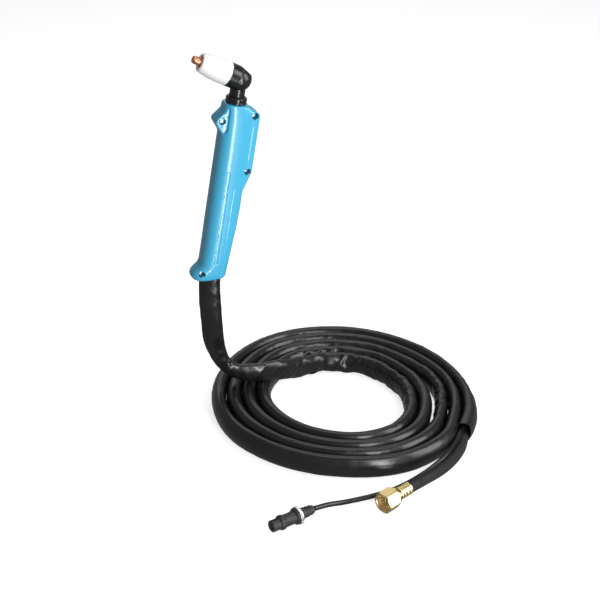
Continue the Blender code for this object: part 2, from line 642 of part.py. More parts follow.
def make_plug(frame, materials):
    """Two-pole round plug. Heights run back from its nose."""
    plastic = materials["black_plastic"]
    body = [(0, 0), (4.9, 0), (5.5, -0.6), (5.5, -8.4), (6.5, -8.8), (7.0, -9.8), (7.0, -12.6),
            (6.5, -13.6), (6.0, -14.0), (6.0, -24.8), (7.8, -25.6), (7.8, -27.0), (6.2, -27.0),
            (6.2, -32.6), (2.0, -32.6), (2.0, -29.0), (0, -29.0)]
    shell = turned("plug_body", body, frame, plastic, segments=22)
    for number, side in ((1, 2.3), (2, -2.3)):
        well = turned("contact_well_tool", [(0, -9.0), (1.15, -9.0), (1.15, 1.0), (0, 1.0)], frame, None, 16)
        well.location = (0.0, side * MM, 0.0)
        cut(shell, well)
        pin = turned(f"plug_contact_{number}", [(0, -8.6), (0.8, -8.6), (0.8, -2.2), (0.5, -1.9), (0, -1.9)],
                     frame, materials["brass"], segments=12)
        pin.location = (0.0, side * MM, 0.0)
    ring = [(6.6, -31.2), (8.2, -31.2), (8.5, -30.8), (8.5, -27.8), (8.2, -27.4), (6.6, -27.4)]
    turned("plug_lock_ring", ring, frame, materials["steel"], segments=28, ring=True)
    boot = [(0, -33.0), (5.3, -33.0)]
    for k in range(3):
        start = -33.6 - 3.6 * k
        radius = 5.2 - 0.25 * k
        boot += [(radius, start - 0.3), (radius, start - 2.2), (radius - 0.7, start - 2.5),
                 (radius - 0.7, start - 3.3)]
    boot += [(4.0, -45.2), (3.2, -46.4), (0, -46.4)]
    turned("plug_boot", boot, frame, materials["rubber"], segments=14)


# ---------------------------------------------------------------- assembly

def main():
    clear_scene()
    materials = make_materials()
    frames = make_frames()
    handle = frames["handle"]
    tools = handle_tools(handle)
    make_handle_half("handle_left", -1, tools, handle, materials["blue_shell"])
    make_handle_half("handle_right", 1, tools, handle, materials["blue_shell"])
    make_screws(handle, materials["steel"])
    make_trigger(handle, materials)
    make_switch(handle, materials)
    make_trigger_spring(handle, materials["steel"])
    make_switch_wires(handle, materials["wire"])
    make_power_line(handle, materials)
    make_sleeve_end(handle, materials)
    make_torch_head(frames, materials)
    make_head_core(frames["head"], materials)
    make_consumables(frames["head"], materials)
    make_lead(frames["part"], materials)
    make_hose_end(frames["nut"], materials)
    make_plug(frames["plug"], materials)
    bpy.context.view_layer.update()


main()
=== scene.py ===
"""Looks of a hand-held plasma cutting torch and its sleeved lead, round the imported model.

Frame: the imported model's, in metres. Origin at the grip point, +Z up, cup towards -X.
Tables and local shapes are in millimetres and are scaled by MM when a mesh is made.
"""
import math

import bmesh
import bpy
import numpy as np
from mathutils import Matrix, Vector, noise


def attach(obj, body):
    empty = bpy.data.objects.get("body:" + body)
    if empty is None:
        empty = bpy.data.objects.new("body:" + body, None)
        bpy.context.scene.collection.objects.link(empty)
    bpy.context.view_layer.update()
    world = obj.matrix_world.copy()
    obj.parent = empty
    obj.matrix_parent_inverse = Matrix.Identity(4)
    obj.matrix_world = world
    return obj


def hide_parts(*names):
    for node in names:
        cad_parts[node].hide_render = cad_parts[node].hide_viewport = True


MM = 0.001

# ---------------------------------------------------------------- sizes shared with the CAD model
LEAN = math.radians(9.9)
HEAD_ANGLE = math.radians(72.0)
FLOOR = -237.9
ELBOW_Z = 114.7
HANDLE_TOP, HANDLE_BOTTOM = 91.5, -87.3
MOUTH_TOP, NECK_HOLE_FROM = -84.4, 88.6     # the cavity lies between these heights
HALF_GAP = 0.15
SCREWS = [(-13.5, 75.2), (17.0, 82.7), (17.3, 28.0), (-12.9, -80.3)]
COUNTERBORE_R = 3.3
SEAT_DEPTH = 5.5
SCREW_HOLE_R, BOSS_R = 1.65, 4.2
CUP_REAR, CUP_FRONT, TIP_FRONT = 12.6, 42.1, 49.3
BARREL_R, SPIGOT_R = 11.25, 7.3
NECK_R = 7.25
NUT_FLATS = 19.0
NUT_FRONT = (77.7, -225.3, FLOOR + 9.7)
NUT_HEADING = math.radians(203.0)
PLUG_FRONT = (-28.7, -221.3, FLOOR + 8.7)
PLUG_HEADING = math.radians(194.6)

# ---------------------------------------------------------------- handle shells
# height, front edge, back edge, half width
BODY_STATIONS = [
    (-87.3, -12.6, 11.4, 8.4), (-87.1, -14.6, 12.2, 9.7), (-86.3, -17.4, 13.2, 10.9),
    (-84.9, -19.6, 13.9, 11.9), (-82.4, -21.2, 14.1, 12.6), (-80.0, -21.0, 14.1, 13.0),
    (-77.0, -18.8, 14.1, 13.3), (-73.5, -15.0, 14.2, 13.6), (-69.0, -13.4, 14.4, 13.9),
    (-48.0, -13.1, 15.8, 14.3), (-28.0, -13.2, 17.3, 14.5), (-8.0, -13.1, 17.9, 14.5),
    (55.0, -12.7, 17.0, 14.5), (78.0, -12.5, 16.0, 14.0), (88.6, -12.4, 12.9, 13.4),
    (90.2, -12.1, 12.2, 13.2), (91.1, -11.7, 11.3, 12.8), (HANDLE_TOP, -10.9, 10.4, 12.0),
]
SECTION_POWER = 2.9
BOTTOM_SLOPE = 0.17
SECTION_CENTRE = 2.0
BOX_SIDE = 12.8
BOX_OUTLINE = [(8.0, 89.5), (10.8, 90.6), (21.7, 84.6), (22.7, 83.2), (22.7, 27.5),
               (22.1, 25.4), (17.4, 10.5), (8.0, 7.0)]
EAR_SIDE = 9.5
EAR_OUTLINE = [(-6.0, 86.0), (-11.8, 84.4), (-18.2, 77.2), (-19.2, 75.6), (-19.4, 74.0),
               (-19.0, 72.4), (-17.6, 70.4), (-11.6, 62.4), (-6.0, 61.0)]
PAD_OUTLINE = [(-8.2, 88.2), (-8.2, 66.8), (-12.0, 62.2), (-24.0, 70.0), (-24.0, 79.0),
               (-12.0, 87.0)]
WALL = 2.2
MOUTH = (-11.7, 10.7, 7.6)      # front edge, back edge, half width
NECK_HOLE_R = 8.7
WINDOW = (40.2, 73.8, 6.2)      # lower edge, upper edge, half width
# angle round the handle, lower end, upper end, half width in degrees, depth
GROOVES = [(-109.4, -69.0, 29.0, 2.0, 0.5), (-99.0, -69.0, 29.0, 2.0, 0.5),
           (-42.4, 39.0, 74.0, 1.4, 0.35), (-76.0, -60.0, 12.0, 4.0, 0.16),
           (-66.0, -60.0, 12.0, 4.0, 0.16), (-56.0, -60.0, 12.0, 4.0, 0.16)]

# ---------------------------------------------------------------- lead
DROP_ROUTE = [
    (-13.5, 0.0, -77.2), (-14.9, 0.0, -83.2), (-15.9, 0.1, -90.0), (-16.2, 0.4, -101.0),
    (-16.0, 1.2, -113.0), (-14.6, 2.9, -136.6), (-12.9, 5.4, -156.9), (-10.2, 8.0, -170.0),
    (-7.2, 9.2, -180.0), (-3.2, 9.0, -189.5), (2.6, 7.6, -197.4), (10.2, 4.8, -202.2),
    (20.2, 1.8, -204.8), (35.5, -0.6, -206.2), (48.0, 0.6, -207.2), (62.0, 4.4, -211.0),
    (84.0, 15.4, -219.5),
]
COIL_CENTRE = (109.4, -44.5)
# angle round the centre, then the radius of each pass there from the innermost outwards
COIL_RADII = [
    (70.0, 70.8, 85.8, 100.8, 115.7, 130.4), (46.0, 69.4, 83.7, 97.9, 112.2, 126.4),
    (30.0, 67.0, 81.4, 95.7, 110.1, 124.4), (15.0, 66.3, 80.3, 96.6, 110.6, 124.6),
    (0.0, 67.3, 82.0, 100.6, 113.3, 126.0), (-14.0, 69.3, 84.2, 103.0, 115.8, 128.6),
    (-28.0, 71.5, 86.6, 103.8, 117.6, 132.0), (-42.0, 75.8, 90.0, 106.6, 120.6, 135.4),
    (-60.0, 81.0, 96.6, 112.6, 128.6), (-80.0, 85.0, 100.0, 115.0, 130.0),
    (-94.0, 84.8, 99.2, 113.4, 127.8), (-108.0, 83.4, 97.2, 110.8, 124.6),
    (-122.0, 81.3, 95.2, 109.1, 123.0), (-136.0, 80.0, 94.1, 108.2, 122.3),
    (-153.0, 78.8, 93.5, 108.2, 123.0), (-170.0, 78.8, 94.2, 109.7, 125.2),
    (-185.0, 80.0, 95.4, 110.9, 126.4), (-215.0, 83.0, 98.5, 114.0, 129.6),
    (-260.0, 89.5, 104.5, 119.5, 134.0),
]
COIL_START = (87.0, 72.2, 12.6)         # angle, radius and height where the drop joins the coil
COIL_END = (-1488.8, 136.8)             # angle and radius of the open end
COIL_HEIGHT = 11.2                      # the sleeve's middle above the floor
COIL_FILL = 0.497                       # half thickness as a share of the distance between passes
THINNEST, THICKEST = 5.6, 7.8
COIL_STEP = 6.0                         # degrees between points
MOUTH_FROM = -1462.0                    # angle where the sleeve starts to widen to its open end
# angle round the centre and crease depth on the coil, then crease depth down the drop
CREASE_KEYS = [
    (87.0, 1.0), (40.0, 1.0), (-20.0, 0.95), (-50.0, 0.4), (-90.0, 0.1), (-240.0, 0.1),
    (-275.0, 0.85), (-300.0, 0.8), (-340.0, 0.25), (-470.0, 0.08), (-620.0, 0.12),
    (-650.0, 0.5), (-690.0, 0.3), (-735.0, 0.85), (-762.0, 0.8), (-785.0, 0.12),
    (-1000.0, 0.2), (-1060.0, 0.2), (-1090.0, 0.35), (-1120.0, 0.08), (-1430.0, 0.2),
    (-1460.0, 0.3), (-1488.8, 0.1),
]
DROP_CREASES = [0.1, 0.12, 0.2, 0.2, 0.2, 0.2, 0.25, 0.3, 0.35, 0.4, 0.35, 0.35, 0.4,
                0.6, 0.8, 1.0, 1.0]
# share by which the sleeve narrows where it folds onto the floor
DROP_PINCH = [0.0, 0.0, 0.0, 0.0, 0.0, 0.0, 0.02, 0.08, 0.18, 0.29, 0.33, 0.24, 0.1, 0.03,
              0.0, 0.0, 0.0]
SLEEVE_HALF_HEIGHT, SLEEVE_HALF_THICKNESS = 11.0, 5.35
SLEEVE_WALL = 0.6
SLEEVE_STEP, SLEEVE_POINTS = 1.7, 60    # mesh spacing along the sleeve, points round it
SLEEVE_LINING = 30                      # rows of the open end that have an inner wall
HOSE_ROUTE = [
    (214.6, -129.4, FLOOR + 6.6), (206.6, -138.8, FLOOR + 6.2), (199.0, -147.6, FLOOR + 5.7),
    (187.5, -164.2, FLOOR + 5.7), (171.0, -179.8, FLOOR + 6.0), (152.5, -192.0, FLOOR + 6.8),
    (130.5, -202.6, FLOOR + 8.4), (110.5, -211.4, FLOOR + 9.6),
]
CABLE_ROUTE = [
    (210.6, -131.6, FLOOR + 15.6), (202.6, -140.6, FLOOR + 14.8), (195.4, -148.8, FLOOR + 13.6),
    (181.4, -163.6, FLOOR + 12.0), (164.6, -176.6, FLOOR + 9.6), (146.0, -186.2, FLOOR + 6.6),
    (127.0, -193.0, FLOOR + 4.0), (110.0, -198.0, FLOOR + 2.8), (94.5, -201.4, FLOOR + 2.6),
    (73.6, -203.0, FLOOR + 2.6), (50.0, -203.4, FLOOR + 3.2), (32.0, -205.8, FLOOR + 6.4),
    (17.2, -209.4, FLOOR + 8.6),
]
HOSE_R, CABLE_R = 5.4, 2.4
BRAID_CARRIERS = 16                     # strands each way round the hose
BRAID_PITCH = 32.0                      # length of one turn of a strand

# ---------------------------------------------------------------- camera and lights, in metres
CAMERA_AT = (-0.30983, -1.06955, 0.47083)
CAMERA_LOOKS_AT = (0.06835, -0.03051, -0.11216)
LENS = 75.0
TO_CAMERA = (-0.342, -0.940, 0.0)
MIDDLE = (0.06, -0.05, -0.1)
# name, place, what it points at, width and height, power
LIGHTS = [
    ("top", (0.25, 0.2, 1.3), MIDDLE, (1.2, 0.8), 7.0),
    ("right", (1.1, -0.8, 0.45), MIDDLE, (0.7, 1.2), 15.0),
    ("front", (0.15, -1.5, 0.9), MIDDLE, (0.7, 0.4), 6.5),
    ("strip", (0.1, -1.25, -0.1), (0.0, 0.0, 0.0), (0.15, 1.2), 15.0),
    ("back", (0.5, 1.4, 0.7), MIDDLE, (1.2, 0.8), 2.2),
]
AMBIENT = 0.26


# ---------------------------------------------------------------- frames

def heading_matrix(point, heading):
    """Local +Z runs level along the heading, local +X points up. Local lengths are millimetres."""
    along = Vector((math.cos(heading), math.sin(heading), 0.0))
    up = Vector((0.0, 0.0, 1.0))
    side = along.cross(up)
    rotation = Matrix((up, side, along)).transposed().to_4x4()
    return Matrix.Translation(Vector(point) * MM) @ rotation @ Matrix.Scale(MM, 4)


PART = Matrix.Scale(MM, 4)
HANDLE = Matrix.Rotation(LEAN, 4, "Y") @ PART
HEAD = HANDLE @ Matrix.Translation((0.0, 0.0, ELBOW_Z)) @ Matrix.Rotation(-HEAD_ANGLE, 4, "Y")
NUT = heading_matrix(NUT_FRONT, NUT_HEADING)
PLUG = heading_matrix(PLUG_FRONT, PLUG_HEADING)


# ---------------------------------------------------------------- mesh helpers

def mesh_object(name, points, faces, matrix, sharp=38.0):
    mesh = bpy.data.meshes.new(name)
    mesh.from_pydata([tuple(p) for p in points], [], faces)
    mesh.transform(matrix)
    bm = bmesh.new()
    bm.from_mesh(mesh)
    bmesh.ops.recalc_face_normals(bm, faces=bm.faces)
    bm.to_mesh(mesh)
    bm.free()
    obj = bpy.data.objects.new(name, mesh)
    bpy.context.scene.collection.objects.link(obj)
    shade(obj, sharp)
    return obj


def shade(obj, sharp=38.0):
    obj.data.shade_smooth()
    obj.data.set_sharp_from_angle(angle=math.radians(sharp))


def grid_faces(rows, columns, closed=True):
    """Quads of a grid of rows of points, closed round each row or open."""
    faces = []
    last = columns if closed else columns - 1
    for j in range(rows - 1):
        for k in range(last):
            n = (k + 1) % columns
            faces.append((j * columns + k, j * columns + n,
                          (j + 1) * columns + n, (j + 1) * columns + k))
    return faces


def tube_faces(rows, columns):
    """A grid closed round each row, with a face over its first row and its last."""
    last = (rows - 1) * columns
    return grid_faces(rows, columns) + [tuple(range(columns)), tuple(range(last, last + columns))]


def rounded(profile, radius, steps=3, closed=False):
    """Fillet a polyline's corners, each by at most the given radius."""
    points = [Vector(p) for p in profile]
    count = len(points)
    made = []
    for i, here in enumerate(points):
        if not closed and i in (0, count - 1):
            made.append(tuple(here))
            continue
        before, after = points[i - 1], points[(i + 1) % count]
        a, b = before - here, after - here
        reach = min(radius, 0.45 * a.length, 0.45 * b.length)
        turn = a.normalized().dot(b.normalized())
        if turn < -0.985 or reach < 1e-4:
            made.append(tuple(here))
            continue
        start, end = here + a.normalized() * reach, here + b.normalized() * reach
        for k in range(steps + 1):
            t = k / steps
            made.append(tuple(start * (1 - t) ** 2 + here * (2 * t * (1 - t)) + end * t * t))
    return made


def lathe(name, profile, matrix, segments=96, ring=False, fillet=0.0, sharp=38.0):
    """Turn a profile of (radius, height) about local Z. A ring's profile is a closed loop."""
    if fillet:
        profile = rounded(profile, fillet, closed=ring)
    angles = np.linspace(0.0, 2.0 * math.pi, segments, endpoint=False)
    points, faces = [], []
    starts = []
    for radius, height in profile:
        starts.append(len(points))
        if radius < 1e-6:
            points.append((0.0, 0.0, height))
        else:
            points.extend((radius * math.cos(a), radius * math.sin(a), height) for a in angles)
    starts.append(len(points))
    order = list(range(len(profile)))
    pairs = list(zip(order, order[1:]))
    if ring:
        pairs.append((order[-1], order[0]))
    for lower, upper in pairs:
        low = list(range(starts[lower], starts[lower + 1]))
        high = list(range(starts[upper], starts[upper + 1]))
        for k in range(segments):
            n = (k + 1) % segments
            corners = [low[k % len(low)], low[n % len(low)],
                       high[n % len(high)], high[k % len(high)]]
            faces.append(tuple(dict.fromkeys(corners)))
    return mesh_object(name, points, faces, matrix, sharp)


def prism(name, outline, low, high, matrix, axis="z"):
    """Extrude an outline of (x, y) along z, of (x, z) along y, or of (y, z) along x."""
    place = {"x": lambda u, v, w: (w, u, v), "y": lambda u, v, w: (u, w, v),
             "z": lambda u, v, w: (u, v, w)}[axis]
    points = [place(u, v, w) for w in (low, high) for u, v in outline]
    return mesh_object(name, points, tube_faces(2, len(outline)), matrix)


def circle(radius, centre=(0.0, 0.0), segments=64):
    angles = np.linspace(0.0, 2.0 * math.pi, segments, endpoint=False)
    return [(centre[0] + radius * math.cos(a), centre[1] + radius * math.sin(a)) for a in angles]


def combine(obj, tools, operation, solver="MANIFOLD", sharp=38.0):
    """Boolean with other pieces, which are used up."""
    for tool in tools:
        modifier = obj.modifiers.new("Boolean", "BOOLEAN")
        modifier.operation = operation
        modifier.solver = solver
        modifier.object = tool
    apply_modifiers(obj)
    for tool in tools:
        bpy.data.objects.remove(tool, do_unlink=True)
    shade(obj, sharp)
    return obj


def apply_modifiers(obj):
    depsgraph = bpy.context.evaluated_depsgraph_get()
    mesh = bpy.data.meshes.new_from_object(obj.evaluated_get(depsgraph))
    obj.modifiers.clear()
    obj.data = mesh


def join(obj, others):
    """Put other pieces' meshes into obj's."""
    bm = bmesh.new()
    bm.from_mesh(obj.data)
    for other in others:
        bm.from_mesh(other.data)
        bpy.data.objects.remove(other, do_unlink=True)
    bm.to_mesh(obj.data)
    bm.free()
    return obj


# ---------------------------------------------------------------- curves

def through(keys, x):
    """Monotone cubic through (x, y) keys in rising x, at the values x."""
    xs, ys = np.array([k[0] for k in keys], float), np.array([k[1] for k in keys], float)
    step = np.diff(xs)
    slope = np.diff(ys) / step
    tangent = np.zeros(len(xs))
    product = slope[:-1] * slope[1:]
    total = slope[:-1] + slope[1:]
    safe = np.where(np.abs(total) > 1e-12, total, 1.0)
    tangent[1:-1] = np.where(product > 0, 2.0 * product / safe, 0.0)
    tangent[0], tangent[-1] = slope[0], slope[-1]
    x = np.asarray(x, float)
    i = np.clip(np.searchsorted(xs, x) - 1, 0, len(step) - 1)
    t = np.clip((x - xs[i]) / step[i], 0.0, 1.0)
    return ((2 * t**3 - 3 * t**2 + 1) * ys[i] + (t**3 - 2 * t**2 + t) * step[i] * tangent[i]
            + (3 * t**2 - 2 * t**3) * ys[i + 1] + (t**3 - t**2) * step[i] * tangent[i + 1])


def smooth_route(points, spacing, marks=None):
    """Evenly spaced points on a Catmull-Rom curve, and the marks' values at each of them."""
    route = np.array(points, float)
    ends = np.vstack([2 * route[0] - route[1], route, 2 * route[-1] - route[-2]])
    t = np.linspace(0.0, 1.0, 16, endpoint=False)[:, None]
    fine = []
    for i in range(1, len(ends) - 2):
        a, b, c, d = ends[i - 1:i + 3]
        fine.append(0.5 * (2 * b + (c - a) * t + (2 * a - 5 * b + 4 * c - d) * t**2
                           + (3 * b - a - 3 * c + d) * t**3))
    fine = np.vstack(fine + [route[-1:]])
    walked = np.concatenate([[0.0], np.cumsum(np.linalg.norm(np.diff(fine, axis=0), axis=1))])
    even = np.linspace(0.0, walked[-1], max(3, int(round(walked[-1] / spacing)) + 1))
    made = np.stack([np.interp(even, walked, fine[:, k]) for k in range(3)], axis=1)
    if marks is None:
        return made, even
    at_points = walked[::16]
    return made, even, [np.interp(even, at_points, values) for values in marks]


def tangents(points):
    d = np.gradient(points, axis=0)
    return d / np.linalg.norm(d, axis=1)[:, None]


def carried_frames(points):
    """Two directions square to the path, carried along it without twist."""
    t = tangents(points)
    side = np.cross(t[0], (0.0, 0.0, 1.0))
    side /= np.linalg.norm(side)
    sides = []
    for direction in t:
        side = side - direction * side.dot(direction)
        side /= np.linalg.norm(side)
        sides.append(side)
    sides = np.array(sides)
    return sides, np.cross(t, sides)


# ---------------------------------------------------------------- materials

class Finish:
    """A procedural material: one shader, with textures in the object's own coordinates."""

    def __init__(self, name, colour, roughness, metallic=0.0, **sockets):
        self.material = bpy.data.materials.new(name)
        self.material.use_nodes = True
        self.nodes = self.material.node_tree.nodes
        self.links = self.material.node_tree.links
        self.shader = self.nodes["Principled BSDF"]
        self.colour = (*colour, 1.0)
        self.shader.inputs["Base Color"].default_value = self.colour
        self.shader.inputs["Roughness"].default_value = roughness
        self.shader.inputs["Metallic"].default_value = metallic
        for key, value in sockets.items():
            self.shader.inputs[key.replace("_", " ")].default_value = value
        self.coordinates = self.nodes.new("ShaderNodeTexCoord").outputs["Object"]
        self.height = None
        self.material.diffuse_color = self.colour

    def stretched(self, scale, rotation=(0.0, 0.0, 0.0)):
        mapping = self.nodes.new("ShaderNodeMapping")
        mapping.inputs["Scale"].default_value = scale
        mapping.inputs["Rotation"].default_value = rotation
        self.links.new(self.coordinates, mapping.inputs["Vector"])
        return mapping.outputs["Vector"]

    def noise(self, cell_mm, detail=2.0, roughness=0.5, vector=None):
        texture = self.nodes.new("ShaderNodeTexNoise")
        texture.inputs["Scale"].default_value = 1000.0 / cell_mm
        texture.inputs["Detail"].default_value = detail
        texture.inputs["Roughness"].default_value = roughness
        self.links.new(vector or self.coordinates, texture.inputs["Vector"])
        return texture.outputs["Fac"]

    def cells(self, cell_mm, feature="F1", vector=None):
        texture = self.nodes.new("ShaderNodeTexVoronoi")
        texture.feature = feature
        texture.inputs["Scale"].default_value = 1000.0 / cell_mm
        self.links.new(vector or self.coordinates, texture.inputs["Vector"])
        return texture.outputs["Distance"]

    def ramp(self, factor, low, high):
        """Map 0.3 to 0.7 of a noise onto low to high."""
        node = self.nodes.new("ShaderNodeMapRange")
        node.inputs["From Min"].default_value = 0.3
        node.inputs["From Max"].default_value = 0.7
        node.inputs["To Min"].default_value = low
        node.inputs["To Max"].default_value = high
        self.links.new(factor, node.inputs["Value"])
        return node.outputs["Result"]

    def vary_roughness(self, cell_mm, low, high, detail=3.0):
        value = self.ramp(self.noise(cell_mm, detail), low, high)
        self.links.new(value, self.shader.inputs["Roughness"])
        return self

    def vary_colour(self, cell_mm, other, amount=1.0, detail=3.0):
        mix = self.nodes.new("ShaderNodeMix")
        mix.data_type = "RGBA"
        mix.inputs["A"].default_value = self.colour
        mix.inputs["B"].default_value = (*other, 1.0)
        factor = self.ramp(self.noise(cell_mm, detail), 0.0, amount)
        self.links.new(factor, mix.inputs["Factor"])
        self.links.new(mix.outputs["Result"], self.shader.inputs["Base Color"])
        return self

    def bump(self, value, depth_mm, strength=1.0):
        node = self.nodes.new("ShaderNodeBump")
        node.inputs["Distance"].default_value = depth_mm * MM
        node.inputs["Strength"].default_value = strength
        self.links.new(value, node.inputs["Height"])
        if self.height is not None:
            self.links.new(self.height, node.inputs["Normal"])
        self.height = node.outputs["Normal"]
        self.links.new(self.height, self.shader.inputs["Normal"])
        return self


def make_finishes():
    made = {}

    def add(name, *args, **sockets):
        made[name] = Finish(name, *args, **sockets)
        return made[name]

    shell = add("blue_shell", (0.045, 0.33, 0.52), 0.27, Coat_Weight=0.35, Coat_Roughness=0.12)
    shell.vary_colour(18.0, (0.048, 0.345, 0.54)).vary_roughness(14.0, 0.25, 0.3)
    shell.bump(shell.noise(9.0, 0.0), 0.012)

    black = add("black_plastic", (0.006, 0.006, 0.0065), 0.25)
    black.vary_roughness(2.0, 0.2, 0.3).bump(black.noise(0.6, 2.0), 0.01)

    ceramic = add("white_ceramic", (0.78, 0.765, 0.75), 0.38, Coat_Weight=0.15, Coat_Roughness=0.25)
    ceramic.vary_colour(3.0, (0.75, 0.735, 0.72)).vary_roughness(1.2, 0.34, 0.46)
    ceramic.bump(ceramic.noise(0.35, 3.0), 0.012)

    copper = add("copper", (0.72, 0.29, 0.17), 0.34, 1.0)
    copper.vary_colour(4.0, (0.6, 0.22, 0.125)).vary_roughness(2.0, 0.3, 0.4)
    turned = copper.stretched((0.35, 1.0, 0.35), (0.0, 1.08, 0.0))
    copper.bump(copper.noise(0.5, 1.0, vector=turned), 0.003)

    brass = add("brass", (0.88, 0.7, 0.35), 0.23, 1.0)
    brass.vary_colour(3.0, (0.84, 0.65, 0.31)).vary_roughness(1.0, 0.16, 0.3)
    brass.bump(brass.noise(0.3, 2.0), 0.006)

    steel = add("steel", (0.7, 0.7, 0.7), 0.24, 1.0)
    steel.vary_roughness(0.8, 0.16, 0.32).bump(steel.noise(0.3, 2.0), 0.006)

    ring = add("lock_ring", (0.78, 0.77, 0.73), 0.22, 1.0)
    ring.vary_colour(2.0, (0.7, 0.69, 0.66)).vary_roughness(0.8, 0.16, 0.3)
    ring.bump(ring.noise(0.3, 2.0), 0.006)

    hafnium = add("hafnium", (0.35, 0.35, 0.37), 0.4, 1.0)
    hafnium.vary_roughness(0.5, 0.3, 0.5)

    rubber = add("rubber", (0.016, 0.016, 0.017), 0.55)
    rubber.vary_roughness(1.5, 0.48, 0.62).bump(rubber.noise(0.4, 3.0), 0.02)

    plug = add("plug_plastic", (0.012, 0.012, 0.014), 0.48)
    plug.vary_roughness(1.5, 0.42, 0.54).bump(plug.noise(0.35, 3.0), 0.02)

    sleeve = add("sleeve", (0.0055, 0.0055, 0.0065), 0.27)
    sleeve.vary_colour(22.0, (0.0075, 0.0073, 0.0085)).vary_roughness(18.0, 0.24, 0.32, 1.0)
    sleeve.bump(sleeve.noise(14.0, 0.0), 0.12)

    braid = add("braid", (0.004, 0.004, 0.0045), 0.3, Specular_IOR_Level=0.35)
    braid.vary_colour(1.2, (0.008, 0.008, 0.009)).bump(braid.noise(0.16, 2.0), 0.04)

    jacket = add("cable_jacket", (0.006, 0.006, 0.0065), 0.24)
    jacket.vary_roughness(4.0, 0.2, 0.28).bump(jacket.noise(0.8, 2.0), 0.01)

    wire = add("wire", (0.45, 0.04, 0.03), 0.42)
    wire.vary_roughness(2.0, 0.36, 0.5)
    return {name: finish.material for name, finish in made.items()}


NODE_FINISH = {
    "brass": ["switch_terminal_1", "switch_terminal_2", "power_tube", "union_nut",
              "head_cathode", "cup_insert", "plug_contact_1", "plug_contact_2"],
    "steel": ["switch_plunger", "trigger_spring", "sleeve_clamp"],
    "black_plastic": ["switch_body"],
    "rubber": ["hose_stub", "head_o_ring"],
    "copper": ["electrode"],
    "hafnium": ["hafnium_insert"],
    "white_ceramic": ["swirl_ring"],
    "wire": ["switch_wire_1", "switch_wire_2"],
}


def dress(obj, materials, name, body, *replaced):
    """Give a piece its material, its body and the nodes it stands for."""
    obj.data.materials.clear()
    obj.data.materials.append(materials[name])
    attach(obj, body)
    if replaced:
        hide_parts(*replaced)
    return obj


def dress_cad_nodes(frame, materials):
    for finish, nodes in NODE_FINISH.items():
        for name in nodes:
            obj = frame["nodes"][name]
            obj.data.materials.clear()
            obj.data.materials.append(materials[finish])
            obj.data.shade_smooth()
            obj.data.set_sharp_from_angle(angle=math.radians(32))


# ---------------------------------------------------------------- handle

def smooth_min(a, b, k):
    h = np.maximum(k - np.abs(a - b), 0.0) / k
    return np.minimum(a, b) - h * h * k / 4.0


def smooth_max(a, b, k):
    return -smooth_min(-a, -b, k)


def outline_distance(outline, x, z):
    """Signed distance to a closed outline in the handle's side view, negative inside."""
    best = np.full(x.shape, 1e9)
    inside = np.zeros(x.shape, bool)
    for (ax, az), (bx, bz) in zip(outline, outline[1:] + outline[:1]):
        dx, dz = bx - ax, bz - az
        t = np.clip(((x - ax) * dx + (z - az) * dz) / (dx * dx + dz * dz), 0.0, 1.0)
        best = np.minimum(best, np.hypot(x - ax - t * dx, z - az - t * dz))
        if dz != 0.0:
            crosses = ((az > z) != (bz > z)) & (x < ax + (z - az) * dx / dz)
            inside ^= crosses
    return np.where(inside, -best, best)


def station_columns(heights):
    """Front edge, back edge and half width of the handle at each height."""
    columns = []
    for k in (1, 2, 3):
        columns.append(through([(s[0], s[k]) for s in BODY_STATIONS], heights))
    return columns


def section_distance(x, y, front, back, half, power=SECTION_POWER):
    centre, reach = (front + back) / 2.0, (back - front) / 2.0
    size = ((np.abs(x - centre) / reach) ** power + (np.abs(y) / half) ** power) ** (1.0 / power)
    return (size - 1.0) * np.minimum(reach, half)


def outside(x, y, z, stations):
    """The handle's outer skin as a distance field: body, ear with its recessed pad, switch box."""
    distance = section_distance(x, y, *stations)
    side = np.abs(y)
    ear = smooth_max(outline_distance(EAR_OUTLINE, x, z), side - EAR_SIDE, 1.8)
    distance = smooth_min(distance, ear, 1.4)
    box = smooth_max(outline_distance(BOX_OUTLINE, x, z), side - BOX_SIDE, 5.0)
    distance = smooth_min(distance, box, 2.2)
    pad = smooth_max(outline_distance(PAD_OUTLINE, x, z), EAR_SIDE - side, 1.0)
    return smooth_max(distance, -pad, 1.0)


def inside_skin(x, y, z, stations):
    """The handle's cavity, with the mouth below and the neck's hole above."""
    front, back, half = stations
    cavity = section_distance(x, y, front + WALL, back - WALL, half - WALL)
    box = np.maximum.reduce([8.0 - x, x - 20.4, np.abs(y) - 10.3, 34.0 - z, z - 78.5])
    cavity = np.minimum(cavity, box)
    mouth = section_distance(x, y, MOUTH[0], MOUTH[1], MOUTH[2], 2.6)
    neck = np.hypot(x, y) - NECK_HOLE_R
    return np.where(z < MOUTH_TOP, mouth, np.where(z > NECK_HOLE_FROM, neck, cavity))


def radius_of(field, angles, heights, stations):
    """Distance from the section's centre to a field's skin, for every height and angle."""
    c, s = np.cos(angles)[None, :], np.sin(angles)[None, :]
    z = np.repeat(heights[:, None], len(angles), axis=1)
    stations = [column[:, None] for column in stations]
    low, high = np.full(z.shape, 3.0), np.full(z.shape, 32.0)
    for _ in range(26):
        middle = (low + high) / 2.0
        filled = field(SECTION_CENTRE + middle * c, middle * s, z, stations) < 0.0
        low, high = np.where(filled, middle, low), np.where(filled, high, middle)
    return (low + high) / 2.0


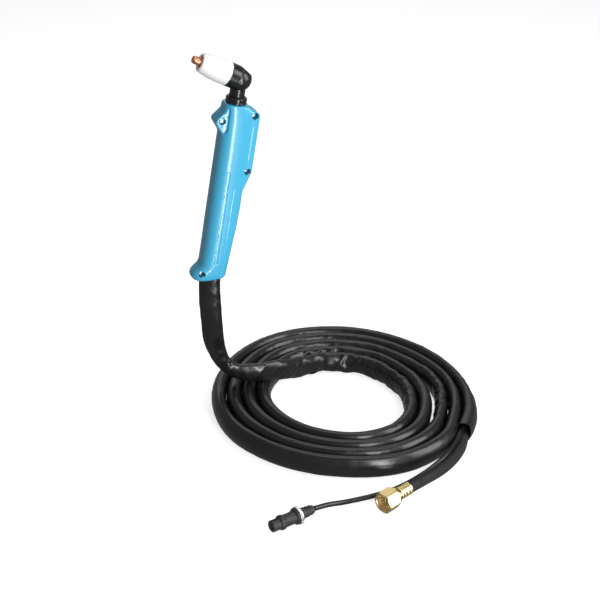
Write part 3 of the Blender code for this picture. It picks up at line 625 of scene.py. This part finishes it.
def handle_heights():
    """Heights of the shell's rows, closer together where its outline turns."""
    spans = [(HANDLE_BOTTOM, MOUTH_TOP, 0.3), (-84.2, -68.0, 0.8), (-68.0, 4.0, 1.6), (4.0, 34.0, 0.8),
             (34.0, 58.0, 1.6), (58.0, 87.8, 0.5), (87.8, HANDLE_TOP, 0.3)]
    heights = [np.arange(low, high - 0.05, step) for low, high, step in spans]
    ends = [z for groove in GROOVES for z in (groove[1], groove[2])]
    return np.unique(np.concatenate(heights + [ends, [HANDLE_TOP]]).round(2))


def handle_angles():
    """Angles over half a turn, closer together at the grooves and the split."""
    angles = list(np.arange(-175.5, -4.0, 1.5))
    for centre, _, _, width, _ in GROOVES:
        if width < 3.0:
            angles = [a for a in angles if abs(a - centre) > width + 0.4]
            angles += [centre + width * t for t in (-1.0, -0.6, -0.25, 0.25, 0.6, 1.0)]
    return np.radians(np.array(sorted([-180.0, -178.4] + angles + [-1.6, 0.0])))


def groove_depths(angles, heights):
    depth = np.zeros((len(heights), len(angles)))
    degrees = np.degrees(angles)
    for centre, low, high, width, deep in GROOVES:
        across = np.clip(1.0 - np.abs(degrees - centre) / width, 0.0, 1.0)
        across = across * across * (3.0 - 2.0 * across)
        along = np.clip(np.minimum(heights - low, high - heights) / 2.0, 0.0, 1.0)
        depth = np.maximum(depth, deep * along[:, None] * across[None, :])
    return depth


def half_shell(name, side):
    """One half of the handle as a closed shell with a chamfered split edge."""
    heights, angles = handle_heights(), handle_angles()
    stations = station_columns(heights)
    outer = radius_of(outside, angles, heights, stations) - groove_depths(angles, heights)
    inner = np.minimum(radius_of(inside_skin, angles, heights, stations), outer - 0.8)
    outer[:, 0] -= 0.3
    outer[:, -1] -= 0.3
    centre = (stations[0] + stations[1]) / 2.0
    fade = np.clip((-60.0 - heights) / (-60.0 - HANDLE_BOTTOM), 0.0, 1.0)
    layers = []
    for radius in (outer, inner):
        x = SECTION_CENTRE + radius * np.cos(angles)[None, :]
        y = np.minimum(radius * np.sin(angles)[None, :], -HALF_GAP)
        z = heights[:, None] + fade[:, None] * BOTTOM_SLOPE * (x - centre[:, None])
        layers.append(np.stack([x, -side * y, z], axis=2))
    rows, columns = len(heights), len(angles)
    loops = np.concatenate([layers[0], layers[1][:, ::-1]], axis=1)
    faces = grid_faces(rows, 2 * columns)
    for row in (0, rows - 1):
        start = row * 2 * columns
        for k in range(columns - 1):
            far = 2 * columns - 1 - k
            faces.append((start + k, start + k + 1, start + far - 1, start + far))
    return mesh_object(name, loops.reshape(-1, 3), faces, HANDLE, sharp=40.0)


def bore_tool(x, z, radius, low, high):
    """A round bar across the handle, between two depths in Y."""
    return prism("bore_tool", circle(radius, (x, z), 48), low, high, HANDLE, axis="y")


def window_outline(half, low, high, corner=1.2):
    return rounded([(-half, low), (half, low), (half, high), (-half, high)], corner, 5, closed=True)


def window_tool():
    low, high, half = WINDOW
    return prism("window_tool", window_outline(half, low, high), 18.2, 30.0, HANDLE, axis="x")


def make_handle(materials):
    for name, side, node in (("handle_shell_left", -1, "handle_left"),
                             ("handle_shell_right", 1, "handle_right")):
        shell = half_shell(name, side)
        bosses = [bore_tool(x, z, BOSS_R, *sorted((side * 0.2, side * 9.0)))
                  for x, z in SCREWS[1:]]
        combine(shell, bosses, "UNION")
        cutters = [window_tool()]
        for x, z in SCREWS:
            if side < 0:
                cutters.append(bore_tool(x, z, COUNTERBORE_R, -30.0, -SEAT_DEPTH))
                cutters.append(bore_tool(x, z, SCREW_HOLE_R, -SEAT_DEPTH - 1.0, 1.0))
            else:
                cutters.append(bore_tool(x, z, SCREW_HOLE_R, -1.0, 8.6))
        combine(shell, cutters, "DIFFERENCE", sharp=40.0)
        dress(shell, materials, "blue_shell", "root", node)


def make_screws(materials):
    """Dome-headed screws with a cross recess, heads towards -Y."""
    top = SEAT_DEPTH + 0.3 + 2.3
    for number, (x, z) in enumerate(SCREWS, start=1):
        place = HANDLE @ Matrix.Translation((x, 0.0, z)) @ Matrix.Rotation(math.pi / 2, 4, "X")
        profile = [(0.0, -8.4), (0.7, -8.4), (1.3, -7.4)]
        for k in range(17):
            profile += [(1.3, -7.0 + 0.7 * k), (1.02, -6.65 + 0.7 * k)]
        profile += [(1.3, SEAT_DEPTH + 0.3), (2.75, SEAT_DEPTH + 0.3), (2.8, SEAT_DEPTH + 0.6),
                    (2.8, top - 1.25), (2.6, top - 0.75), (2.1, top - 0.32), (1.3, top - 0.08),
                    (0.0, top)]
        screw = lathe(f"shell_screw_{number}", profile, place, segments=48)
        turn = Matrix.Rotation(math.radians(20 + 37 * number), 4, "Z")
        slots = []
        for arm in range(2):
            spin = place @ turn @ Matrix.Rotation(arm * math.pi / 2, 4, "Z")
            outline = [(-1.55, top + 0.5), (1.55, top + 0.5), (1.35, top - 0.7), (0.55, top - 1.5),
                       (-0.55, top - 1.5), (-1.35, top - 0.7)]
            slots.append(prism("slot_tool", outline, -0.3, 0.3, spin, axis="y"))
        combine(screw, slots, "DIFFERENCE", solver="EXACT")
        dress(screw, materials, "steel", "root", f"handle_screw_{number}")


def make_trigger(materials):
    """The button in the handle's back: a crowned pad with grip bars."""
    low, high, half = WINDOW
    low, high, half = low + 0.4, high - 0.4, half - 0.4
    outline = np.array(window_outline(half, low, high, 1.4))
    centre = np.array([0.0, (low + high) / 2.0])
    rings = [(17.7, 1.0), (21.3, 1.0), (21.7, 0.975), (22.0, 0.93), (22.2, 0.84), (22.2, 0.6),
             (22.15, 0.3), (22.12, 0.05)]
    points = []
    for x, scale in rings:
        shrink = half * (1.0 - scale)
        spread = np.array([scale, (high - low - 2.0 * shrink) / (high - low)])
        for y, z in centre + (outline - centre) * spread:
            points.append((x, y, z))
    pad = mesh_object("trigger_pad", points, tube_faces(len(rings), len(outline)), HANDLE)
    flange = rounded([(-7.9, low - 2.0), (7.9, low - 2.0), (7.9, high + 2.0), (-7.9, high + 2.0)],
                     1.0, 4, closed=True)
    combine(pad, [prism("flange_tool", flange, 17.65, 19.5, HANDLE, axis="x")], "UNION")
    grooves = []
    for k in range(7):
        z = centre[1] + (k - 3) * 3.4
        grooves.append(prism("grip_tool", circle(0.55, (22.45, z), 20), -4.2, 4.2, HANDLE, axis="y"))
    combine(pad, grooves, "DIFFERENCE")
    dress(pad, materials, "black_plastic", "trigger", "trigger_button")


# ---------------------------------------------------------------- neck and head

def make_neck(materials):
    tube = [(5.1, 76.2), (NECK_R, 76.2), (NECK_R, 106.6), (6.9, 108.2), (5.1, 108.2)]
    neck = lathe("neck_stem", tube, HANDLE, ring=True, fillet=0.3)
    dress(neck, materials, "black_plastic", "root", "neck_tube")
    collar = [(NECK_R + 0.3, 82.8), (9.7, 82.8), (9.7, 84.1), (8.35, 84.1), (8.35, HANDLE_TOP + 0.3),
              (10.0, HANDLE_TOP + 0.3), (10.0, 92.9), (9.75, 93.1), (9.75, 93.5), (10.0, 93.7),
              (10.0, 96.8), (9.0, 98.0), (NECK_R + 0.35, 98.0)]
    ring = lathe("neck_ring", collar, HANDLE, ring=True, fillet=0.25)
    dress(ring, materials, "black_plastic", "root", "neck_collar")


def make_head(materials):
    """Moulded elbow: barrel, knuckle and sloping shoulder, blended, with a spigot for the cup."""
    front = CUP_REAR - 0.3
    head = lathe("head_elbow", [(0, -3.0), (10.9, -3.0), (BARREL_R + 0.1, 5.0),
                                (BARREL_R + 0.25, front), (0, front)], HEAD)
    ball = []
    for k in range(25):
        a = math.pi * (k / 24 - 0.5)
        ball.append((11.7 * math.cos(a) if 0 < k < 24 else 0.0, ELBOW_Z + 11.7 * math.sin(a)))
    combine(head, [lathe("ball_tool", ball, HANDLE)], "UNION")
    floor = prism("floor_tool", [(-30, -30), (30, -30), (30, 30), (-30, 30)],
                  ELBOW_Z - 25.0, ELBOW_Z - 9.9, HANDLE)
    slope = HANDLE @ Matrix.Translation((0, 0, ELBOW_Z)) @ Matrix.Rotation(-math.radians(53.5), 4, "Y")
    shoulder = prism("shoulder_tool", [(9.9, -20), (30, -20), (30, 20), (9.9, 20)], -30, 30, slope)
    combine(head, [floor, shoulder], "DIFFERENCE")
    remesh(head, 0.32, 5)
    spigot = [(0, 8.0), (SPIGOT_R, 8.0)]
    for k in range(7):
        spigot += [(SPIGOT_R, 11.0 + 1.5 * k), (SPIGOT_R - 0.5, 11.75 + 1.5 * k)]
    spigot += [(SPIGOT_R, 21.6), (SPIGOT_R - 0.4, 22.0), (0, 22.0)]
    combine(head, [lathe("spigot_tool", spigot, HEAD)], "UNION", solver="EXACT")
    socket = lathe("socket_tool", [(0, 90), (NECK_R + 0.3, 90), (NECK_R + 0.3, 108.7), (0, 108.7)],
                   HANDLE)
    bore = lathe("bore_tool", [(0, -5.0), (4.6, -5.0), (4.6, 30.0), (0, 30.0)], HEAD)
    combine(head, [socket, bore], "DIFFERENCE", solver="EXACT")
    dress(head, materials, "black_plastic", "root", "torch_head")


def remesh(obj, voxel_mm, smoothing):
    voxels = obj.modifiers.new("Remesh", "REMESH")
    voxels.mode = "VOXEL"
    voxels.voxel_size = voxel_mm * MM
    soften = obj.modifiers.new("Smooth", "SMOOTH")
    soften.factor = 0.5
    soften.iterations = smoothing
    apply_modifiers(obj)
    shade(obj)


def make_cup_and_tip(materials):
    outer_keys = [(CUP_REAR, 11.3), (14.0, 11.38), (17.0, 11.4), (23.0, 11.3), (28.0, 11.05),
                  (32.0, 10.62), (35.5, 10.08), (38.5, 9.45), (40.6, 8.9)]
    profile = [(11.0, CUP_REAR)]
    for s in np.linspace(CUP_REAR + 0.25, 40.6, 44):
        profile.append((float(through(outer_keys, s)), float(s)))
    profile += [(8.6, 41.2), (8.1, 41.7), (7.5, 42.02), (7.0, CUP_FRONT), (6.5, 42.0), (6.1, 41.7),
                (5.85, 41.2), (5.75, 40.6), (5.65, 33.5), (7.0, 33.4), (7.0, 30.6), (9.5, 30.4),
                (9.5, CUP_REAR + 0.2), (9.7, CUP_REAR)]
    cup = lathe("ceramic_cup", profile, HEAD, segments=128, ring=True, sharp=50.0)
    dress(cup, materials, "white_ceramic", "cup", "shield_cup")
    tip = [(4.4, 29.3), (6.3, 29.3), (6.3, 33.0), (5.2, 33.0), (5.2, 40.0), (5.0, 40.45),
           (4.6, 40.7), (4.05, 40.75), (3.85, 40.95), (3.8, 41.2), (3.8, 45.6), (3.72, 45.7),
           (3.72, 45.9), (3.8, 46.0), (3.8, 47.6), (3.55, 48.2), (3.1, TIP_FRONT), (1.1, TIP_FRONT),
           (0.7, 48.2), (0.6, 47.6), (0.6, 34.4), (2.4, 34.4), (4.4, 32.8)]
    nozzle = lathe("copper_tip", tip, HEAD, ring=True)
    dress(nozzle, materials, "copper", "tip", "cutting_tip")


# ---------------------------------------------------------------- lead

def coil_keys():
    """Angle, radius and half thickness along the wound part, pass after pass."""
    keys = [(COIL_START[0], COIL_START[1], THICKEST - 0.6)]
    for number in range(1, 6):
        for row in COIL_RADII:
            radii = row[1:]
            if number > len(radii):
                continue
            steps = np.diff(radii)
            near = steps[max(0, number - 2):number]
            half = min(max(COIL_FILL * min(near), THINNEST), THICKEST)
            keys.append((row[0] - 360.0 * (number - 1), radii[number - 1], half))
    keys = [key for key in keys if key[0] > COIL_END[0] + 4.0]
    return keys + [(COIL_END[0], COIL_END[1], THINNEST)]


def coil_route():
    """Points of the wound part, clockwise from above, with each one's angle and half thickness."""
    angles = np.arange(COIL_START[0], COIL_END[0], -COIL_STEP)
    angles = np.append(angles, COIL_END[0])
    keys = coil_keys()
    radii = through([(-a, r) for a, r, _ in keys], -angles)
    halves = through([(-a, half) for a, _, half in keys], -angles)
    settle = np.clip((angles - 60.0) / (COIL_START[0] - 60.0), 0.0, 1.0)
    heights = COIL_HEIGHT + (COIL_START[2] - COIL_HEIGHT) * settle
    turn = np.radians(angles)
    points = np.stack([COIL_CENTRE[0] + radii * np.cos(turn),
                       COIL_CENTRE[1] + radii * np.sin(turn), FLOOR + heights], axis=1)
    return points, angles, halves


def sleeve_directions(points):
    """Thin direction (towards the camera's side on the drop, inwards on the coil) and tall direction."""
    t = tangents(points)
    level = np.cross(t, (0.0, 0.0, 1.0))
    flat = np.hypot(t[:, 0], t[:, 1])
    blend = np.clip((flat - 0.35) / 0.5, 0.0, 1.0)[:, None]
    thin = np.array(TO_CAMERA)[None, :] * (1.0 - blend) + level * blend
    thin -= t * np.sum(thin * t, axis=1)[:, None]
    thin /= np.linalg.norm(thin, axis=1)[:, None]
    return thin, np.cross(thin, t)


def crease(along, across, side, depth):
    """Dent of a crumpled film: flat facets that meet in slanting ridges."""
    if depth < 0.02:
        return 0.0
    skew = 0.8 * across * side
    first = noise.noise(Vector(((along + skew) / 21.0, across / 60.0, 5.1 * side)))
    second = noise.noise(Vector(((along - skew) / 17.0, across / 50.0, 9.7 * side + 3.0)))
    ridges = max(0.0, 1.0 - 3.4 * abs(first)) + max(0.0, 1.0 - 3.8 * abs(second))
    return depth * min(1.5 * ridges - 1.2, 0.6)


def sleeve_section(count):
    """Unit outline of the sleeve's cross-section: full sides, closer points near the top fold."""
    phi = np.linspace(0.0, 2.0 * math.pi, count, endpoint=False)
    phi = phi + 0.16 * np.sin(2.0 * phi)
    tall = np.sin(phi)
    thick = np.sign(np.cos(phi)) * np.abs(np.cos(phi)) ** 0.62
    return thick, tall


def sleeve_marks(angles, halves):
    """Values along the sleeve: creases, share on the coil, half thickness, both ends, narrowing."""
    drop = len(DROP_ROUTE)
    keys = [(-a, d) for a, d in CREASE_KEYS]
    depth = np.concatenate([DROP_CREASES, np.interp(-angles, *zip(*keys))])
    coiled = np.concatenate([np.zeros(drop - 3), [0.3, 0.6, 0.9], np.ones(len(angles))])
    thickness = np.concatenate([np.full(drop - 2, SLEEVE_HALF_THICKNESS), [5.8, 6.3], halves])
    widening = np.clip((MOUTH_FROM - angles) / (MOUTH_FROM - COIL_END[0]), 0.0, 1.0)
    ending = np.concatenate([np.zeros(drop), widening])
    starting = np.concatenate([[1.0, 1.0, 0.8, 0.4], np.zeros(drop + len(angles) - 4)])
    pinch = np.concatenate([DROP_PINCH, np.zeros(len(angles))])
    return [depth, coiled, thickness, ending, starting, pinch]


def sleeve_ring(walked, mark, unit_thick, unit_tall):
    """Thickness and height of every point round the sleeve at one place along it."""
    depth, coiled, thickness, ending, starting, pinch = mark
    half_tall = (SLEEVE_HALF_HEIGHT - 0.55 * starting - 0.5 * ending) * (1.0 - pinch)
    if coiled < 0.5:
        half_tall += 0.5 * noise.noise(Vector((walked / 26.0, 1.7, 0.0)))
    half_thick = thickness + 1.7 * ending + 0.2 * starting
    taper = (0.2 * coiled + 0.1) * (1.0 - ending)
    thick = unit_thick * half_thick * (1.0 - taper * np.clip(unit_tall, 0.0, 1.0) ** 2.2)
    height = unit_tall * half_tall
    dents = [crease(walked, h, math.copysign(1.0, u), depth) for h, u in zip(height, unit_thick)]
    fade = np.clip(np.abs(unit_thick) * 1.6, 0.0, 1.0)
    thick = thick + np.sign(unit_thick) * np.maximum(np.array(dents) * fade, -0.62 * np.abs(thick))
    ragged = [noise.noise(Vector((walked / 7.0, 0.3 * u, 4.0))) for u in unit_tall]
    return thick, height + 1.1 * depth * np.array(ragged) * np.abs(unit_tall)


def make_sleeve(materials):
    """The flat sleeve from the handle's mouth to its open end, as one tube with a wall at its end."""
    coil, angles, halves = coil_route()
    controls = np.vstack([np.array(DROP_ROUTE), coil])
    points, walked, marks = smooth_route(controls, SLEEVE_STEP, sleeve_marks(angles, halves))
    thin, tall = sleeve_directions(points)
    unit_thick, unit_tall = sleeve_section(SLEEVE_POINTS)
    rows = []
    for i, centre in enumerate(points):
        thick, height = sleeve_ring(walked[i], [m[i] for m in marks], unit_thick, unit_tall)
        rows.append(centre + thick[:, None] * thin[i] + height[:, None] * tall[i])
    inner = []
    for ring in rows[:-SLEEVE_LINING:-1]:
        middle = ring.mean(axis=0)
        away = ring - middle
        length = np.linalg.norm(away, axis=1)[:, None]
        inner.append(middle + away * (1.0 - SLEEVE_WALL / length))
    every = np.array(rows + inner)
    faces = tube_faces(len(every), SLEEVE_POINTS)
    sleeve = mesh_object("lead_sleeve", every.reshape(-1, 3), faces, PART, sharp=60.0)
    dress(sleeve, materials, "sleeve", "root", "sleeve_end", "sleeve_drop", "cable_coil")


def round_tube(name, points, radius, segments=24):
    """A closed round tube along the points."""
    a, b = carried_frames(points)
    angles = np.linspace(0.0, 2.0 * math.pi, segments, endpoint=False)
    rows = [centre + radius * (np.cos(angles)[:, None] * a[i] + np.sin(angles)[:, None] * b[i])
            for i, centre in enumerate(points)]
    faces = tube_faces(len(rows), segments)
    return mesh_object(name, np.array(rows).reshape(-1, 3), faces, PART, sharp=60.0)


def braid_strands(name, points, walked, radius):
    """Flat strands wound both ways round the hose, each over one and under the next."""
    a, b = carried_frames(points)
    outline = [(-0.62, 0.0), (-0.4, 0.2), (0.0, 0.28), (0.4, 0.2), (0.62, 0.0), (0.0, -0.12)]
    step = BRAID_PITCH / (4 * BRAID_CARRIERS)
    places = np.arange(0.0, walked[-1], step)
    index = np.interp(places, walked, np.arange(len(walked)))
    low = np.minimum(index.astype(int), len(points) - 2)
    part = (index - low)[:, None]
    centre = points[low] * (1 - part) + points[low + 1] * part
    first = a[low] * (1 - part) + a[low + 1] * part
    second = b[low] * (1 - part) + b[low + 1] * part
    verts, faces = [], []
    strand = tube_faces(len(places), len(outline))
    weave = 0.2 * np.cos(2.0 * math.pi * BRAID_CARRIERS * places / BRAID_PITCH)
    for way in (1.0, -1.0):
        for k in range(BRAID_CARRIERS):
            turn = 2.0 * math.pi * (k / BRAID_CARRIERS + way * places / BRAID_PITCH)
            rows = []
            for across, out in outline:
                angle = turn + across * 1.15 / radius
                r = radius + way * weave + out
                rows.append(centre + (r * np.cos(angle))[:, None] * first
                            + (r * np.sin(angle))[:, None] * second)
            ring = np.stack(rows, axis=1)
            offset = sum(len(v) for v in verts)
            verts.append(ring.reshape(-1, 3))
            faces += [tuple(offset + v for v in face) for face in strand]
    return mesh_object(name, np.vstack(verts), faces, PART, sharp=70.0)


def make_hose(materials):
    points, walked = smooth_route(HOSE_ROUTE, 1.5)
    hose = round_tube("gas_hose", points, HOSE_R - 0.35)
    braid = braid_strands("gas_hose_braid", points, walked, HOSE_R - 0.15)
    join(hose, [braid])
    shade(hose, 70.0)
    dress(hose, materials, "braid", "root", "hose_tail")
    return hose, points, walked


def make_hose_end(materials):
    """Crimped ferrule, stem with ball seat, and swivel nut. Heights run back from the nut's face."""
    ferrule = [(5.2, -21.2), (5.8, -21.2), (6.15, -21.8)]
    for start in (-23.2, -27.0, -30.8):
        ferrule += [(6.25, start), (5.75, start - 0.5), (5.75, start - 1.7), (6.25, start - 2.2)]
    ferrule += [(6.3, -35.0), (6.0, -35.5), (5.5, -35.6), (5.5, -26.0), (5.2, -25.8)]
    shell = lathe("crimp_ferrule", ferrule, NUT, ring=True, fillet=0.18)
    dents = []
    for k in range(8):
        place = NUT @ Matrix.Rotation(math.pi * k / 4, 4, "Z")
        for height in (-26.0, -29.8):
            dent = circle(0.75, (6.75, height), 20)
            dents.append(prism("crimp_tool", dent, -1.1, 1.1, place, axis="y"))
    combine(shell, dents, "DIFFERENCE", solver="EXACT")
    dress(shell, materials, "brass", "root", "hose_ferrule")
    stem = [(1.8, -25.2), (4.85, -25.2), (4.85, -12.5), (6.9, -12.5), (7.0, -10.4), (5.4, -8.4),
            (3.5, -6.5), (2.6, -6.1), (1.8, -6.3)]
    seat = lathe("stem_seat", stem, NUT, ring=True, fillet=0.3)
    dress(seat, materials, "brass", "root", "hose_stem")
    corner = NUT_FLATS / math.sqrt(3.0)
    hexagon = [(corner * math.cos(math.pi / 6 + k * math.pi / 3),
                corner * math.sin(math.pi / 6 + k * math.pi / 3)) for k in range(6)]
    nut = prism("swivel_nut", rounded(hexagon, 0.5, 3, closed=True), -18.0, 0.0, NUT)
    envelope = [(0, -18.0), (7.9, -18.0), (8.5, -17.5), (8.5, -14.9), (8.9, -14.5), (9.55, -14.4),
                (corner + 0.15, -13.3), (corner + 0.15, -1.4), (9.5, -0.15), (8.9, 0.0), (0, 0.0)]
    combine(nut, [lathe("nut_tool", envelope, NUT, fillet=0.2)], "INTERSECT", solver="EXACT")
    bore = [(0, -20.0), (5.2, -20.0), (5.2, -12.6), (7.3, -12.6)]
    for k in range(7):
        bore += [(7.3, -11.6 + 1.5 * k), (7.75, -11.1 + 1.5 * k), (7.75, -10.9 + 1.5 * k)]
    bore += [(7.35, -0.9), (8.2, 0.2), (8.2, 1.0), (0, 1.0)]
    combine(nut, [lathe("nut_bore_tool", bore, NUT)], "DIFFERENCE", solver="EXACT", sharp=30.0)
    dress(nut, materials, "brass", "nut", "hose_nut")
    return [shell, seat, nut]


def make_plug(materials):
    """Two-pole round plug: keyed nose, ridged body, knurled ring and ribbed strain relief."""
    body = [(0, -0.35), (3.9, -0.35), (4.3, 0.0), (4.9, 0), (5.5, -0.6), (5.5, -8.2), (6.4, -8.6),
            (7.0, -9.6), (7.0, -12.4), (6.4, -13.3), (6.0, -13.9), (5.9, -19.0), (6.1, -24.8),
            (7.6, -25.4), (7.8, -25.8), (7.8, -27.0), (6.2, -27.1), (6.2, -32.5), (2.0, -32.5),
            (2.0, -29.0), (0, -29.0)]
    shell = lathe("plug_shell", body, PLUG, fillet=0.35)
    cutters = []
    for side in (2.3, -2.3):
        place = PLUG @ Matrix.Translation((0.0, side, 0.0))
        cutters.append(lathe("well_tool", [(0, -9.0), (1.15, -9.0), (1.15, -0.8), (1.5, 0.5), (0, 0.5)],
                             place, segments=32))
    place = PLUG @ Matrix.Translation((4.9, 0.0, 0.0))
    cutters.append(prism("key_tool", rounded([(-0.6, -0.8), (2.0, -0.8), (2.0, 0.8), (-0.6, 0.8)],
                                             0.3, 3, closed=True), -7.2, 2.0, place))
    combine(shell, cutters, "DIFFERENCE", solver="EXACT")
    dress(shell, materials, "plug_plastic", "root", "plug_body")
    ring = [(6.6, -31.2), (8.0, -31.2), (8.5, -30.7), (8.5, -27.9), (8.0, -27.4), (6.6, -27.4)]
    lock = lathe("knurled_ring", ring, PLUG, ring=True, fillet=0.15)
    knurl = []
    for k in range(36):
        place = PLUG @ Matrix.Rotation(2.0 * math.pi * k / 36, 4, "Z")
        knurl.append(prism("knurl_tool", circle(0.32, (8.62, 0.0), 10), -30.6, -28.0, place))
    tool = join(knurl[0], knurl[1:])
    combine(lock, [tool], "DIFFERENCE", solver="EXACT", sharp=30.0)
    dress(lock, materials, "lock_ring", "lock_ring", "plug_lock_ring")
    boot = [(0, -33.0), (5.3, -33.0), (5.4, -33.4)]
    for k in range(3):
        start = -33.7 - 3.7 * k
        radius = 5.35 - 0.3 * k
        boot += [(radius, start), (radius, start - 2.2), (radius - 1.0, start - 2.5),
                 (radius - 1.0, start - 3.4)]
    boot += [(4.1, -45.0), (3.4, -46.3), (2.5, -46.5), (0, -46.5)]
    relief = lathe("strain_relief", boot, PLUG, fillet=0.3)
    dress(relief, materials, "rubber", "root", "plug_boot")
    return [shell, lock, relief]


def make_cords(materials):
    make_sleeve(materials)
    hose, points, walked = make_hose(materials)
    hose_end = make_hose_end(materials)
    points, walked = smooth_route(CABLE_ROUTE, 2.0)
    cable = round_tube("control_cable", points, CABLE_R)
    dress(cable, materials, "cable_jacket", "root", "control_cable_tail")
    plug = make_plug(materials)


# ---------------------------------------------------------------- studio

def link_and_aim(name, data, at, target):
    obj = bpy.data.objects.new(name, data)
    bpy.context.scene.collection.objects.link(obj)
    obj.location = at
    obj.rotation_mode = "QUATERNION"
    obj.rotation_quaternion = (Vector(target) - Vector(at)).to_track_quat("-Z", "Y")
    return obj


def make_camera():
    data = bpy.data.cameras.new("camera")
    data.lens = LENS
    data.sensor_width = 36.0
    bpy.context.scene.camera = link_and_aim("camera", data, CAMERA_AT, CAMERA_LOOKS_AT)


def add_light(name, at, target, size, power):
    data = bpy.data.lights.new(name, "AREA")
    data.shape = "RECTANGLE"
    data.size, data.size_y = size
    data.energy = power
    link_and_aim(name, data, at, target).visible_camera = False


def plain_material(name, colour, glow):
    material = bpy.data.materials.new(name)
    material.use_nodes = True
    shader = material.node_tree.nodes["Principled BSDF"]
    shader.inputs["Base Color"].default_value = (*colour, 1.0)
    shader.inputs["Roughness"].default_value = 0.9
    shader.inputs["Emission Color"].default_value = (1.0, 1.0, 1.0, 1.0)
    shader.inputs["Emission Strength"].default_value = glow
    return material


def make_stage():
    """Pale floor and backdrop, seen by the camera and kept out of the object's reflections."""
    reach = 6.0
    height = FLOOR * MM - 0.0004
    floor = mesh_object("floor", [(-reach, -reach, height), (reach, -reach, height),
                                  (reach, reach, height), (-reach, reach, height)],
                        [(0, 1, 2, 3)], Matrix.Identity(4))
    floor.data.materials.append(plain_material("floor", (0.5, 0.5, 0.5), 0.72))
    dome = lathe("backdrop", [(0.0, -3.0), (reach, -3.0), (reach, 4.0), (0.0, 7.0)],
                 Matrix.Identity(4), segments=64)
    dome.data.materials.append(plain_material("backdrop", (0.0, 0.0, 0.0), 1.0))
    for obj in (floor, dome):
        obj.visible_diffuse = False
        obj.visible_glossy = False
        obj.visible_transmission = False
        obj.visible_shadow = False
    world = bpy.data.worlds.new("studio")
    world.use_nodes = True
    background = world.node_tree.nodes["Background"]
    background.inputs["Color"].default_value = (1.0, 1.0, 1.0, 1.0)
    background.inputs["Strength"].default_value = AMBIENT
    bpy.context.scene.world = world
    bpy.context.scene.view_settings.view_transform = "Standard"
    for name, at, target, size, power in LIGHTS:
        add_light(name, at, target, size, power)


# ---------------------------------------------------------------- assembly


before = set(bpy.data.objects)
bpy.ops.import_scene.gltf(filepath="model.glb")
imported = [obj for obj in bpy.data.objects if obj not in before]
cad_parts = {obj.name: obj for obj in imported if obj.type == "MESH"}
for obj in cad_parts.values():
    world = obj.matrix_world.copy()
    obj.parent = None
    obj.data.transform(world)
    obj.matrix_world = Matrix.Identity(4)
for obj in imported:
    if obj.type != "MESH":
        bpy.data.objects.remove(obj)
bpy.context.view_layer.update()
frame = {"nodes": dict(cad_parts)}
make_camera()
materials = make_finishes()
make_cords(materials)
dress_cad_nodes(frame, materials)
make_handle(materials)
make_screws(materials)
make_trigger(materials)
make_neck(materials)
make_head(materials)
make_cup_and_tip(materials)
make_stage()
